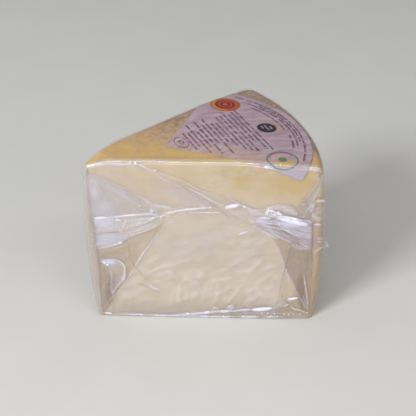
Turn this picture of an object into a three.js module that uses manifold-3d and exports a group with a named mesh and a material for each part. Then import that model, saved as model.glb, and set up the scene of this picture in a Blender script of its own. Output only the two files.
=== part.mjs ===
// A wedge of hard sheep's-milk cheese, an eighth of a small wheel, wrapped tightly in clear film,
// with a paper label on its upper rind whose two corners fold down over the cut faces.
// Millimetres, +Z up. The front cut face looks along -Y, the tip is at -X and the heel at +X.
// The origin is on the table, under the middle of the pack.

import * as THREE from "three";
import { mergeVertices } from "three/addons/utils/BufferGeometryUtils.js";
import Module from "manifold-3d";

// The wheel that the wedge was cut from
const wheelRadius = 100;
const wheelHeight = 79.5;
const wheelCentre = new THREE.Vector3(-53.1, -32, 0);

// The cuts, in the wheel's own frame. Each runs past the wheel's centre by its setback.
const frontCutSetback = 2.2;
const backCutAngle = THREE.MathUtils.degToRad(44.3);
const backCutSetback = 1.6;
const tipSetback = 1;
const tipCutReach = 20.6;

// Rounding of the outline's corners, seen from above
const tipRadius = 2;
const tipCutRadius = 8;
const frontHeelRadius = 3;
const backHeelRadius = 5;

// Rounding of the top and bottom edges, and the barrel shape of the sides
const cutEdgeRadius = 1.6;
const shoulderRadius = 2.8;
const footRadius = 0.9;
const heelBulge = 2;
const heelFootLean = 0.6;
const heelBulgeReach = 26;
const tipBulge = 1.5;
const tipFootLean = 2;
const tipBulgeReach = 16;
const footLeanHeight = 50;

// The upper rind sinks a little towards the tip and towards the heel
const tipDrop = 2.4;
const tipDropReach = 13;
const heelDrop = 1.7;
const heelDropReach = 36;

// The paper label: a pointed slice with a round outer edge, larger than the wedge is wide
const labelPoint = new THREE.Vector2(34.8, 11.1);
const labelFrontAngle = THREE.MathUtils.degToRad(-18.4);
const labelBackAngle = THREE.MathUtils.degToRad(70.5);
const labelArcCentre = new THREE.Vector2(50, 15.5);
const labelArcRadius = 46.6;
const labelGap = 0.3;
const labelThickness = 0.4;
const labelTurnZone = THREE.MathUtils.degToRad(8.5);
const labelRays = [9, 16, 9];
const labelTopSteps = 12;
const labelBendSteps = 5;
const labelHangSteps = 3;

// The film's folds on the front face, drawn from a mark near the tip and up from the table
const drawingStart = 3;
const gussetThickness = 0.5;
const lowerFlapThickness = 0.8;
const upperFlapThickness = 1.1;
const creaseHalfWidth = 0.55;
const creaseHeight = 0.5;
const plateEmbed = 1.2;
const gatherKnot = new THREE.Vector2(82, 50.5);
const gatherLeftReach = 10;
const gatherHeight = 2.6;
const smallestDetail = 0.02;

const frontY = -frontCutSetback;
const backAlong = new THREE.Vector2(Math.cos(backCutAngle), Math.sin(backCutAngle));
const backOut = new THREE.Vector2(-backAlong.y, backAlong.x);
const frontOut = new THREE.Vector2(0, -1);
const tip = new THREE.Vector2(tipSetback, frontY);
const tipCutEnd = backAlong
  .clone()
  .multiplyScalar(tipCutReach)
  .addScaledVector(backOut, backCutSetback);

// Where the label starts to turn over each cut edge, and the length of paper in the turn
const bendEdges = [
  { out: frontOut, at: frontCutSetback - cutEdgeRadius },
  { out: backOut, at: backCutSetback - cutEdgeRadius },
];
const bendLength = (cutEdgeRadius * Math.PI) / 2;

const wasm = await Module();
wasm.setup();

// Eases from 0 at a to 1 at b.
function ease(a, b, x) {
  return THREE.MathUtils.smoothstep((x - a) / (b - a), 0, 1);
}

// The centre of the round that joins two straight edges with outward normals n1 and n2 at corner p.
function roundCentre(p, n1, n2, radius) {
  return p.clone().addScaledVector(n1.clone().add(n2), -radius / (1 + n1.dot(n2)));
}

function pointOnRound(centre, radius, angle) {
  return new THREE.Vector2(centre.x + radius * Math.cos(angle), centre.y + radius * Math.sin(angle));
}

// The wedge's outline from above, anticlockwise from the tip, as points with outward normals.
// heel is 0 on the cut faces and 1 on the rind of the heel.
function wedgeOutline() {
  const tipOut = new THREE.Vector2(tip.y - tipCutEnd.y, tipCutEnd.x - tip.x).normalize();
  const tipRound = roundCentre(tip, tipOut, frontOut, tipRadius);
  const tipCutRound = roundCentre(tipCutEnd, backOut, tipOut, tipCutRadius);
  const frontHeelY = frontY + frontHeelRadius;
  const frontHeel = new THREE.Vector2(
    Math.sqrt((wheelRadius - frontHeelRadius) ** 2 - frontHeelY ** 2),
    frontHeelY,
  );
  const backHeelOut = backCutSetback - backHeelRadius;
  const backHeel = backAlong
    .clone()
    .multiplyScalar(Math.sqrt((wheelRadius - backHeelRadius) ** 2 - backHeelOut ** 2))
    .addScaledVector(backOut, backHeelOut);
  const tipOutAngle = tipOut.angle();
  const frontAngle = (3 * Math.PI) / 2;
  const backOutAngle = backCutAngle + Math.PI / 2;
  const wheelOrigin = new THREE.Vector2();
  const points = [];

  function addRound(centre, radius, from, to, steps, heelFrom, heelTo) {
    for (let i = 0; i < steps; i++) {
      const share = i / steps;
      const angle = from + (to - from) * share;
      points.push({
        at: pointOnRound(centre, radius, angle),
        out: new THREE.Vector2(Math.cos(angle), Math.sin(angle)),
        heel: heelFrom + (heelTo - heelFrom) * share,
      });
    }
  }
  function addEdge(from, to, out, steps, heel) {
    for (let i = 0; i < steps; i++) {
      points.push({ at: from.clone().lerp(to, i / steps), out: out.clone(), heel });
    }
  }

  const frontStart = pointOnRound(tipRound, tipRadius, frontAngle);
  const frontEnd = pointOnRound(frontHeel, frontHeelRadius, frontAngle);
  addEdge(frontStart, frontEnd, frontOut, 18, 0);
  addRound(frontHeel, frontHeelRadius, -Math.PI / 2, frontHeel.angle(), 5, 0, 1);
  addRound(wheelOrigin, wheelRadius, frontHeel.angle(), backHeel.angle(), 16, 1, 1);
  addRound(backHeel, backHeelRadius, backHeel.angle(), backOutAngle, 6, 1, 0);
  const backStart = pointOnRound(backHeel, backHeelRadius, backOutAngle);
  const backEnd = pointOnRound(tipCutRound, tipCutRadius, backOutAngle);
  addEdge(backStart, backEnd, backOut, 12, 0);
  addRound(tipCutRound, tipCutRadius, backOutAngle, tipOutAngle, 3, 0, 0);
  addEdge(
    pointOnRound(tipCutRound, tipCutRadius, tipOutAngle),
    pointOnRound(tipRound, tipRadius, tipOutAngle),
    tipOut,
    4,
    0,
  );
  addRound(tipRound, tipRadius, tipOutAngle, frontAngle, 5, 0, 0);
  return points;
}

// How far the upper rind lies below the wheel's full height.
function rindDrop(p) {
  const towardsTip = 1 - ease(0, tipDropReach, p.distanceTo(tip));
  const towardsHeel = ease(wheelRadius - heelDropReach, wheelRadius, p.length());
  return tipDrop * towardsTip + heelDrop * towardsHeel;
}

// How far the heel's rounded edge lies below the upper rind that runs into it.
function shoulderDip(p) {
  const past = THREE.MathUtils.clamp(p.length() - wheelRadius + shoulderRadius, 0, shoulderRadius);
  return shoulderRadius - Math.sqrt(shoulderRadius ** 2 - past ** 2);
}

// The sides' section, from the table up, as inset and height: a rounded foot, a wall and a rounded edge.
function sideSection(edgeRadius) {
  const rounds = 4;
  const walls = 8;
  const wallTop = wheelHeight - edgeRadius;
  const section = [];
  for (let i = 0; i <= rounds; i++) {
    const turn = ((i / rounds) * Math.PI) / 2;
    section.push({ inset: footRadius * (1 - Math.sin(turn)), z: footRadius * (1 - Math.cos(turn)) });
  }
  for (let i = 1; i < walls; i++) {
    section.push({ inset: 0, z: THREE.MathUtils.lerp(footRadius, wallTop, i / walls) });
  }
  for (let i = 0; i <= rounds; i++) {
    const turn = ((i / rounds) * Math.PI) / 2;
    section.push({ inset: edgeRadius * (1 - Math.cos(turn)), z: wallTop + edgeRadius * Math.sin(turn) });
  }
  return section;
}

// The barrel shape: the heel and the tip swell at half height, and lean in towards the table.
function swell(p, z) {
  const middle = Math.sin((Math.PI * z) / wheelHeight);
  const foot = Math.max(1 - z / footLeanHeight, 0) ** 2;
  const atHeel = ease(wheelRadius - heelBulgeReach, wheelRadius, p.length());
  const atTip = 1 - ease(0, tipBulgeReach, p.distanceTo(tip));
  const outward = p.clone().normalize();
  return outward
    .multiplyScalar(atHeel * (heelBulge * middle - heelFootLean * foot))
    .add(new THREE.Vector2(-atTip * (tipBulge * middle - tipFootLean * foot), 0));
}

// A closed mesh from rings of equal length, with a point at each end.
function closedFromRings(start, rings, end) {
  const around = rings[0].length;
  const positions = [start, ...rings.flat(), end].flatMap((v) => [v.x, v.y, v.z]);
  const last = 1 + rings.length * around;
  const index = [];
  for (let i = 0; i < around; i++) {
    const next = (i + 1) % around;
    index.push(0, 1 + next, 1 + i);
    for (let r = 0; r + 1 < rings.length; r++) {
      const low = 1 + r * around;
      const high = low + around;
      index.push(low + i, low + next, high + next, low + i, high + next, high + i);
    }
    const top = 1 + (rings.length - 1) * around;
    index.push(last, top + i, top + next);
  }
  const geometry = new THREE.BufferGeometry();
  geometry.setAttribute("position", new THREE.Float32BufferAttribute(positions, 3));
  geometry.setIndex(index);
  return geometry;
}

function wedgeGeometry() {
  const outline = wedgeOutline();
  const cutSection = sideSection(cutEdgeRadius);
  const heelSection = sideSection(shoulderRadius);
  const rings = cutSection.map((cut, row) =>
    outline.map(({ at, out, heel }) => {
      const inset = THREE.MathUtils.lerp(cut.inset, heelSection[row].inset, heel);
      const z = THREE.MathUtils.lerp(cut.z, heelSection[row].z, heel);
      const drop = (rindDrop(at) * z) / wheelHeight;
      const moved = at.clone().addScaledVector(out, -inset).add(swell(at, z));
      return new THREE.Vector3(moved.x, moved.y, z - drop);
    }),
  );
  const middle = new THREE.Vector2();
  outline.forEach(({ at }) => middle.addScaledVector(at, 1 / outline.length));
  const edge = rings[rings.length - 1];
  for (const share of [0.06, 0.16, 0.3, 0.5, 0.75]) {
    rings.push(
      edge.map((v) => {
        const p = new THREE.Vector2(v.x, v.y).lerp(middle, share);
        return new THREE.Vector3(p.x, p.y, wheelHeight - rindDrop(p));
      }),
    );
  }
  const foot = new THREE.Vector3(middle.x, middle.y, 0);
  const crown = new THREE.Vector3(middle.x, middle.y, wheelHeight - rindDrop(middle));
  return closedFromRings(foot, rings, crown);
}

// A point of the front face's drawing, as x in the wheel's frame and z.
function onFront(x, z) {
  return new THREE.Vector2(drawingStart + x, z);
}

// A flat fold of film on the front face, standing proud by its thickness.
function foldPlate(corners, thickness) {
  const shape = new THREE.Shape(corners.map(([x, z]) => onFront(x, z)));
  const plate = new THREE.ExtrudeGeometry(shape, {
    depth: thickness + plateEmbed,
    bevelEnabled: false,
  });
  plate.rotateX(Math.PI / 2);
  plate.translate(0, frontY + plateEmbed, 0);
  return plate;
}

// A crease of film along a line on the front face: a low ridge that tapers at both ends and is
// rooted in the cheese.
function creaseRidge(route, proud) {
  const path = new THREE.CatmullRomCurve3(
    route.map(([x, z]) => new THREE.Vector3(drawingStart + x, frontY, z)),
  );
  const steps = 4 * (route.length - 1);
  const section = [
    [-1, -plateEmbed],
    [-1, proud],
    [-0.5, proud + creaseHeight],
    [0.5, proud + creaseHeight],
    [1, proud],
    [1, -plateEmbed],
  ];
  const rings = [];
  for (let i = 0; i <= steps; i++) {
    const share = i / steps;
    const at = path.getPoint(share);
    const across = path.getTangent(share).cross(new THREE.Vector3(0, -1, 0)).normalize();
    const halfWidth = creaseHalfWidth * (0.35 + 0.65 * Math.sin(Math.PI * share));
    rings.push(
      section.map(([side, out]) => {
        const corner = at.clone().addScaledVector(across, side * halfWidth);
        corner.y -= out;
        return corner;
      }),
    );
  }
  return closedFromRings(path.getPoint(0), rings, path.getPoint(1));
}

// The gathered film where the flaps meet: a flattened knot whose folds fan out from its left end.
function gatherGeometry() {
  const around = 48;
  const reaches = [0.14, 0.32, 0.5, 0.68, 0.85, 1];
  const left = onFront(gatherKnot.x - gatherLeftReach, gatherKnot.y);
  function reachAt(angle) {
    const turnFromRight = Math.min(angle, 2 * Math.PI - angle);
    const leftward = gatherLeftReach * Math.exp(-(((angle - Math.PI) / 0.42) ** 2));
    const rightward = 5.5 * Math.exp(-((turnFromRight / 0.8) ** 2));
    const downward = 3 * Math.exp(-(((angle - 5.3) / 0.6) ** 2));
    return 7 + leftward + rightward + downward;
  }
  function proudAt(at, share) {
    const fan = Math.atan2(at.y - left.y, at.x - left.x);
    const folds = 0.55 * Math.sin(20 * fan + 1) * Math.sin(Math.PI * share);
    return upperFlapThickness + gatherHeight * (1 - share ** 2) ** 0.7 + folds;
  }
  const backRing = [];
  const rings = reaches.map((share) =>
    Array.from({ length: around }, (_, i) => {
      const angle = (2 * Math.PI * i) / around;
      const reach = reachAt(angle) * share;
      const at = onFront(gatherKnot.x, gatherKnot.y);
      at.x += reach * Math.cos(angle);
      at.y += reach * Math.sin(angle);
      if (share === 1) backRing.push(new THREE.Vector3(at.x, frontY + plateEmbed, at.y));
      return new THREE.Vector3(at.x, frontY - proudAt(at, share), at.y);
    }),
  );
  const knot = onFront(gatherKnot.x, gatherKnot.y);
  const front = new THREE.Vector3(knot.x, frontY - proudAt(knot, 0), knot.y);
  const back = new THREE.Vector3(knot.x, frontY + plateEmbed, knot.y);
  return closedFromRings(back, [backRing, ...rings.reverse()], front);
}

// The loose corner of film that stands out from the heel, just behind the front face.
function earGeometry() {
  const shape = new THREE.Shape([
    new THREE.Vector2(wheelRadius - 2, 33),
    new THREE.Vector2(wheelRadius + 2.2, 34.5),
    new THREE.Vector2(wheelRadius + 4.6, 37.5),
    new THREE.Vector2(wheelRadius + 2.8, 42),
    new THREE.Vector2(wheelRadius - 2, 45),
  ]);
  const ear = new THREE.ExtrudeGeometry(shape, { depth: 0.9, bevelEnabled: false });
  ear.rotateX(Math.PI / 2);
  ear.translate(0, frontY + 4, 0);
  ear.rotateZ(THREE.MathUtils.degToRad(1.5));
  return ear;
}

// A closed mesh as a solid.
function solidOf(geometry) {
  const bare = new THREE.BufferGeometry();
  bare.setAttribute("position", geometry.getAttribute("position"));
  bare.setIndex(geometry.getIndex());
  const merged = mergeVertices(bare, 1e-4);
  return new wasm.Manifold(
    new wasm.Mesh({
      numProp: 3,
      vertProperties: new Float32Array(merged.getAttribute("position").array),
      triVerts: new Uint32Array(merged.getIndex().array),
    }),
  );
}

function geometryOf(solid) {
  const { vertProperties, triVerts } = solid.getMesh();
  const geometry = new THREE.BufferGeometry();
  geometry.setAttribute("position", new THREE.BufferAttribute(vertProperties, 3));
  geometry.setIndex(new THREE.BufferAttribute(triVerts, 1));
  geometry.computeVertexNormals();
  return geometry;
}

// The wrapped wedge: the cheese in its film, with the folds of the film's end fused on the front.
function wrappedWedgeGeometry() {
  const folds = [
    foldPlate([[3.2, 70], [4.6, 5], [35, 49], [30, 55.5]], gussetThickness),
    foldPlate([[96.4, 70], [65, 53], [74, 41], [79, 28], [78, 13], [94.6, 5]], gussetThickness),
    foldPlate(
      [[6, 2], [92.5, 2], [86, 10.5], [82, 13], [83, 28], [78, 42], [67, 51], [57, 55], [33, 50]],
      lowerFlapThickness,
    ),
    foldPlate(
      [[4, 75.5], [68, 75.5], [76, 68.5], [93.5, 68.5], [90, 58], [74, 50], [67, 51], [42, 56], [29, 53.8]],
      upperFlapThickness,
    ),
    creaseRidge([[20.5, 76.5], [30, 73], [46, 64], [57, 56.8], [68, 50.3]], upperFlapThickness),
    creaseRidge([[5, 51.5], [17, 53], [28, 54], [42, 56], [54, 57.6], [64, 58.6]], upperFlapThickness),
    creaseRidge([[5, 4], [12, 15], [18.5, 27], [26, 39], [33, 50]], lowerFlapThickness),
    creaseRidge([[40, 2.6], [52, 3.8], [66, 5], [78, 5.6], [87, 10.5]], lowerFlapThickness),
    creaseRidge([[84, 13], [84.6, 28], [79.5, 40], [72, 47.5]], gussetThickness),
    gatherGeometry(),
    earGeometry(),
  ].map(solidOf);
  const whole = folds.reduce((body, fold) => body.add(fold), solidOf(wedgeGeometry()));
  return geometryOf(whole.simplify(smallestDetail));
}

// Lays a point of the flat label on the wedge, lifted by a height above its surface. Past a cut
// edge the paper turns round it and hangs down the cut face.
function laidOnWedge(p, lift) {
  const bend = bendEdges
    .map(({ out, at }) => ({ out, past: p.dot(out) - at }))
    .find(({ past }) => past > 0);
  const top = wheelHeight - rindDrop(p) - shoulderDip(p);
  if (!bend) return new THREE.Vector3(p.x, p.y, top + lift);
  const radius = cutEdgeRadius + lift;
  const turn = Math.min(bend.past / cutEdgeRadius, Math.PI / 2);
  const hang = Math.max(bend.past - bendLength, 0);
  const foot = p.clone().addScaledVector(bend.out, -bend.past);
  const edgeTop = wheelHeight - rindDrop(foot) - shoulderDip(foot) - cutEdgeRadius;
  const at = foot.addScaledVector(bend.out, radius * Math.sin(turn));
  return new THREE.Vector3(at.x, at.y, edgeTop + radius * Math.cos(turn) - hang);
}

// Where a ray from the label's point meets its round outer edge.
function labelReach(along) {
  const offset = labelPoint.clone().sub(labelArcCentre);
  const b = offset.dot(along);
  return -b + Math.sqrt(b * b - offset.lengthSq() + labelArcRadius ** 2);
}

// Distances along one ray of the label: over the rind, round the cut edge and down the cut face.
// Where the label ends sooner, the remaining ones are all its end.
function labelStops(along) {
  const reach = labelReach(along);
  const [start, end] = [0, bendLength].map((past) => {
    const meetings = bendEdges.map(({ out, at }) => {
      const towards = along.dot(out);
      return towards > 0 ? (past + at - labelPoint.dot(out)) / towards : Infinity;
    });
    return Math.min(...meetings, reach);
  });
  const stops = [];
  for (let i = 0; i < labelTopSteps; i++) {
    stops.push(start * (1 - (1 - i / labelTopSteps) ** 1.5));
  }
  for (let i = 0; i < labelBendSteps; i++) {
    stops.push(THREE.MathUtils.lerp(start, end, i / labelBendSteps));
  }
  for (let i = 0; i <= labelHangSteps; i++) {
    stops.push(THREE.MathUtils.lerp(end, reach, i / labelHangSteps));
  }
  return stops;
}

// The label is a fan of rays from its point, closest together where it turns over a cut edge,
// with an upper and a lower skin.
function labelGeometry() {
  const marks = [
    labelFrontAngle,
    labelFrontAngle + labelTurnZone,
    labelBackAngle - labelTurnZone,
    labelBackAngle,
  ];
  const angles = [labelFrontAngle];
  labelRays.forEach((count, zone) => {
    for (let i = 1; i <= count; i++) {
      angles.push(THREE.MathUtils.lerp(marks[zone], marks[zone + 1], i / count));
    }
  });
  const rays = angles.map((angle) => {
    const along = new THREE.Vector2(Math.cos(angle), Math.sin(angle));
    return labelStops(along).map((stop) => labelPoint.clone().addScaledVector(along, stop));
  });
  const skin = (lift) => rays.map((ray) => ray.map((p) => laidOnWedge(p, lift)));
  const upper = skin(labelGap + labelThickness);
  const lower = skin(labelGap);
  const last = rays.length - 1;
  const steps = rays[0].length - 1;
  const positions = [];
  function addTriangle(a, b, c) {
    const flat = a.distanceTo(b) < 1e-3 || b.distanceTo(c) < 1e-3 || c.distanceTo(a) < 1e-3;
    if (!flat) for (const v of [a, b, c]) positions.push(v.x, v.y, v.z);
  }
  function addQuad(a, b, c, d) {
    addTriangle(a, b, c);
    addTriangle(a, c, d);
  }
  for (let i = 0; i < last; i++) {
    for (let j = 0; j < steps; j++) {
      addQuad(upper[i][j], upper[i][j + 1], upper[i + 1][j + 1], upper[i + 1][j]);
      addQuad(lower[i][j + 1], lower[i][j], lower[i + 1][j], lower[i + 1][j + 1]);
    }
    addQuad(lower[i][steps], lower[i + 1][steps], upper[i + 1][steps], upper[i][steps]);
  }
  for (let j = 0; j < steps; j++) {
    addQuad(lower[0][j], lower[0][j + 1], upper[0][j + 1], upper[0][j]);
    addQuad(lower[last][j + 1], lower[last][j], upper[last][j], upper[last][j + 1]);
  }
  const loose = new THREE.BufferGeometry();
  loose.setAttribute("position", new THREE.Float32BufferAttribute(positions, 3));
  const label = mergeVertices(loose, 1e-3);
  label.computeVertexNormals();
  return label;
}

const cheeseInFilm = new THREE.MeshStandardMaterial({
  name: "cheese_in_film",
  color: new THREE.Color().setRGB(0.84, 0.75, 0.58, THREE.SRGBColorSpace),
  roughness: 0.35,
  metalness: 0,
});
const labelPaper = new THREE.MeshStandardMaterial({
  name: "label_paper",
  color: new THREE.Color().setRGB(0.8, 0.75, 0.78, THREE.SRGBColorSpace),
  roughness: 0.6,
  metalness: 0,
});

const wrappedWedge = new THREE.Mesh(wrappedWedgeGeometry(), cheeseInFilm);
wrappedWedge.name = "wrapped_wedge";

const paperLabel = new THREE.Mesh(labelGeometry(), labelPaper);
paperLabel.name = "paper_label";

const pack = new THREE.Group();
pack.add(wrappedWedge, paperLabel);
pack.position.copy(wheelCentre);

export default pack;
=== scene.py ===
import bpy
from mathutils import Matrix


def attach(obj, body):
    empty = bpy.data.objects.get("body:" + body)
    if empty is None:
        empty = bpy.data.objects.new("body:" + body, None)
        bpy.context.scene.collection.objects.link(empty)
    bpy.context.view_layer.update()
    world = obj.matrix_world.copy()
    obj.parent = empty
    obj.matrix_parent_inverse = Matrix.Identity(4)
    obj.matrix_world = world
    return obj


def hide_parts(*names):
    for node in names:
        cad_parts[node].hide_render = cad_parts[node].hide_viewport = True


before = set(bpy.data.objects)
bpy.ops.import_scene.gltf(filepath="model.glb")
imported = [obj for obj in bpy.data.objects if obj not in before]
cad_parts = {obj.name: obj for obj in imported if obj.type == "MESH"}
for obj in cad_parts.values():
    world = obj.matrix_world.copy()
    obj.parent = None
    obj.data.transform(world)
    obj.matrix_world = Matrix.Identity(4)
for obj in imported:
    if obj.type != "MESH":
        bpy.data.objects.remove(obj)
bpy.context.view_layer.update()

import math
import bpy
import numpy as np
from mathutils import Vector

# All lengths are in millimetres until a mesh is made. Seen from above, points are in the wheel's
# own frame: its centre is the origin, the front cut runs along +X and its face looks along -Y.
wedge = {
    "wheelRadius": 100.0,
    "height": 79.5,
    "wheelCentre": (-53.1, -32.0),  # where the wheel's centre is in the part's frame
    "frontCutSetback": 2.2,
    "backCutAngle": 44.3,
    "backCutSetback": 1.6,
    "tipSetback": 1.0,
    "tipCutReach": 20.6,
    "tipRadius": 2.0,
    "tipCutRadius": 8.0,
    "frontHeelRadius": 3.0,
    "backHeelRadius": 5.0,
    "cutEdgeRadius": 1.6,
    "shoulderRadius": 2.8,
    "footRadius": 0.9,
    "heelBulge": 2.0,
    "heelFootLean": 0.6,
    "heelBulgeReach": 26.0,
    "tipBulge": 1.5,
    "tipFootLean": 2.0,
    "tipBulgeReach": 16.0,
    "footLeanHeight": 50.0,
    "tipDrop": 2.4,
    "tipDropReach": 13.0,
    "heelDrop": 1.7,
    "heelDropReach": 36.0,
    "drawingStart": 3.0,  # x of the mark that the front face's drawing is measured from
    "arcPoints": 240,  # how many places of the outline lie on each of its arcs
}

millimetre = 0.001
quarterTurn = math.pi / 2
frontY = -wedge["frontCutSetback"]
backAngle = math.radians(wedge["backCutAngle"])
backAlong = np.array([math.cos(backAngle), math.sin(backAngle)])
backOut = np.array([-backAlong[1], backAlong[0]])
frontOut = np.array([0.0, -1.0])
tip = np.array([wedge["tipSetback"], frontY])
tipCutEnd = backAlong * wedge["tipCutReach"] + backOut * wedge["backCutSetback"]


def ease(low, high, x):
    # t squared times (3 - 2 t), where t runs from 0 at low to 1 at high
    t = np.clip((x - low) / (high - low), 0.0, 1.0)
    return t * t * (3.0 - 2.0 * t)


def turned(angle):
    # the unit vector that points along the angle
    return np.stack([np.cos(angle), np.sin(angle)], -1)


def unit(v):
    return v / np.linalg.norm(v, axis=-1, keepdims=True)


def onPlane(p):
    # two coordinates with a third one that is 0
    return np.concatenate([p, np.zeros((*p.shape[:-1], 1))], -1)


lattice = {"values": 8192, "primes": (73856093, 19349663, 83492791)}


def softNoise(points, scale, seed):
    # random heights on a cubic lattice, eased between the eight corners of each cell
    table = np.random.default_rng(seed).uniform(-1.0, 1.0, lattice["values"])
    place = np.asarray(points) / scale
    cell = np.floor(place).astype(np.int64)
    t = place - cell
    t = t * t * (3.0 - 2.0 * t)
    total = 0.0
    for corner in range(8):
        step = np.array([corner & 1, (corner >> 1) & 1, corner >> 2])
        index = np.bitwise_xor.reduce((cell + step) * lattice["primes"], axis=-1)
        weight = np.prod(np.where(step == 1, t, 1.0 - t), -1)
        total = total + weight * table[index % lattice["values"]]
    return total


def roundCentre(corner, n1, n2, radius):
    # the centre of an arc that touches two walls, from their corner and their outward normals
    return corner - (n1 + n2) * radius / (1.0 + n1 @ n2)


def buildOutline():
    # straight cuts joined by arcs, anticlockwise from the tip, stored by distance along it;
    # heel is 0 on the cuts and 1 on the wheel's own round
    tipOut = np.array([tip[1] - tipCutEnd[1], tipCutEnd[0] - tip[0]])
    tipOut = tipOut / np.linalg.norm(tipOut)
    tipRound = roundCentre(tip, tipOut, frontOut, wedge["tipRadius"])
    cutRound = roundCentre(tipCutEnd, backOut, tipOut, wedge["tipCutRadius"])
    inner = wedge["wheelRadius"] - wedge["frontHeelRadius"]
    frontHeelY = frontY + wedge["frontHeelRadius"]
    frontHeel = np.array([math.sqrt(inner**2 - frontHeelY**2), frontHeelY])
    inner = wedge["wheelRadius"] - wedge["backHeelRadius"]
    backHeelOut = wedge["backCutSetback"] - wedge["backHeelRadius"]
    backHeel = backAlong * math.sqrt(inner**2 - backHeelOut**2) + backOut * backHeelOut
    frontTurn, heelTurn, tipTurn = (math.atan2(v[1], v[0]) for v in (frontHeel, backHeel, tipOut))
    backTurn = backAngle + quarterTurn
    # centre, radius, first and last angle, heel at both ends
    arcs = [
        (frontHeel, wedge["frontHeelRadius"], -quarterTurn, frontTurn, 0.0, 1.0),
        (np.zeros(2), wedge["wheelRadius"], frontTurn, heelTurn, 1.0, 1.0),
        (backHeel, wedge["backHeelRadius"], heelTurn, backTurn, 1.0, 0.0),
        (cutRound, wedge["tipCutRadius"], backTurn, tipTurn, 0.0, 0.0),
        (tipRound, wedge["tipRadius"], tipTurn, 3 * quarterTurn, 0.0, 0.0),
    ]
    count = wedge["arcPoints"]
    start = tipRound + wedge["tipRadius"] * turned(-quarterTurn)
    at, out, heel = [start[None]], [frontOut[None]], [[0.0]]
    for centre, radius, first, last, heelFirst, heelLast in arcs:
        angles = np.linspace(first, last, count)
        at.append(centre + radius * turned(angles))
        out.append(turned(angles))
        heel.append(np.linspace(heelFirst, heelLast, count))
    at, out, heel = np.concatenate(at), np.concatenate(out), np.concatenate(heel)
    distance = np.concatenate([[0.0], np.cumsum(np.linalg.norm(np.diff(at, axis=0), axis=1))])
    return {
        "at": at,
        "out": out,
        "heel": heel,
        "distance": distance,
        "start": start[0],
        "heelStart": distance[1 + count],
        "backStart": distance[3 * count],
    }


outline = buildOutline()
perimeter = outline["distance"][-1]


def outlineAt(s):
    # place, outward normal and heel at a distance s round the outline
    s = np.mod(s, perimeter)
    look = lambda column: np.interp(s, outline["distance"], column)
    at = np.stack([look(outline["at"][:, 0]), look(outline["at"][:, 1])], -1)
    out = np.stack([look(outline["out"][:, 0]), look(outline["out"][:, 1])], -1)
    return at, unit(out), look(outline["heel"])


def edgeRadius(heel):
    return wedge["cutEdgeRadius"] + (wedge["shoulderRadius"] - wedge["cutEdgeRadius"]) * heel


def rindDrop(p):
    # the upper rind sinks by an eased step near the tip and another towards the heel
    toTip = np.linalg.norm(p - tip, axis=-1)
    fromCentre = np.linalg.norm(p, axis=-1)
    nearTip = 1.0 - ease(0.0, wedge["tipDropReach"], toTip)
    radius = wedge["wheelRadius"]
    nearHeel = ease(radius - wedge["heelDropReach"], radius, fromCentre)
    return wedge["tipDrop"] * nearTip + wedge["heelDrop"] * nearHeel


def swell(p, z):
    # outward half-wave over the height, less a lean that grows with the square towards the foot
    middle = np.sin(math.pi * z / wedge["height"])
    foot = np.clip(1.0 - z / wedge["footLeanHeight"], 0.0, None) ** 2
    fromCentre = np.linalg.norm(p, axis=-1)
    radius = wedge["wheelRadius"]
    atHeel = ease(radius - wedge["heelBulgeReach"], radius, fromCentre)
    atTip = 1.0 - ease(0.0, wedge["tipBulgeReach"], np.linalg.norm(p - tip, axis=-1))
    atHeel = atHeel * (wedge["heelBulge"] * middle - wedge["heelFootLean"] * foot)
    atTip = atTip * (wedge["tipBulge"] * middle - wedge["tipFootLean"] * foot)
    outward = p / np.maximum(fromCentre, 1e-6)[..., None]
    return outward * atHeel[..., None] - np.stack([atTip, np.zeros_like(atTip)], -1)


def sidePoint(s, h, lift=0.0):
    # s runs round the outline, h is the height on the wall and goes on over the upper edge and
    # under the foot as paper length; both edges are quarter circles, set in by r (1 - cos) and
    # rising by r sin of that length over r; lift is along the surface's own normal
    s, h, lift = np.broadcast_arrays(np.asarray(s, float), h, lift)
    at, out, heel = outlineAt(s)
    edge, foot = edgeRadius(heel), wedge["footRadius"]
    wallTop = wedge["height"] - edge
    over = np.clip((h - wallTop) / edge, 0.0, quarterTurn)
    under = np.clip((foot - h) / foot, 0.0, quarterTurn)
    run = np.maximum(h - wallTop - edge * quarterTurn, 0.0)
    run = run + np.maximum(foot * (1.0 - quarterTurn) - h, 0.0)
    inset = edge * (1.0 - np.cos(over)) + foot * (1.0 - np.cos(under)) + run
    z = np.clip(h, foot, wallTop) + edge * np.sin(over) - foot * np.sin(under)
    p = at - out * inset[..., None]
    z = z - rindDrop(p) * z / wedge["height"]
    p = p + swell(at, z)
    level = np.cos(over) * np.cos(under)
    upright = np.sin(over) - np.sin(under)
    p = p + out * (level * lift)[..., None]
    z = z + upright * lift
    normal = np.concatenate([out * level[..., None], upright[..., None]], -1)
    return np.concatenate([p, z[..., None]], -1), normal


def ringsTowards(middle, rim, first, last, count):
    # copies of the rim, each drawn in towards the middle by an evenly growing share
    shares = np.linspace(first, last, count + 2)[1:-1, None, None]
    return rim + (middle - rim) * shares


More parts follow.
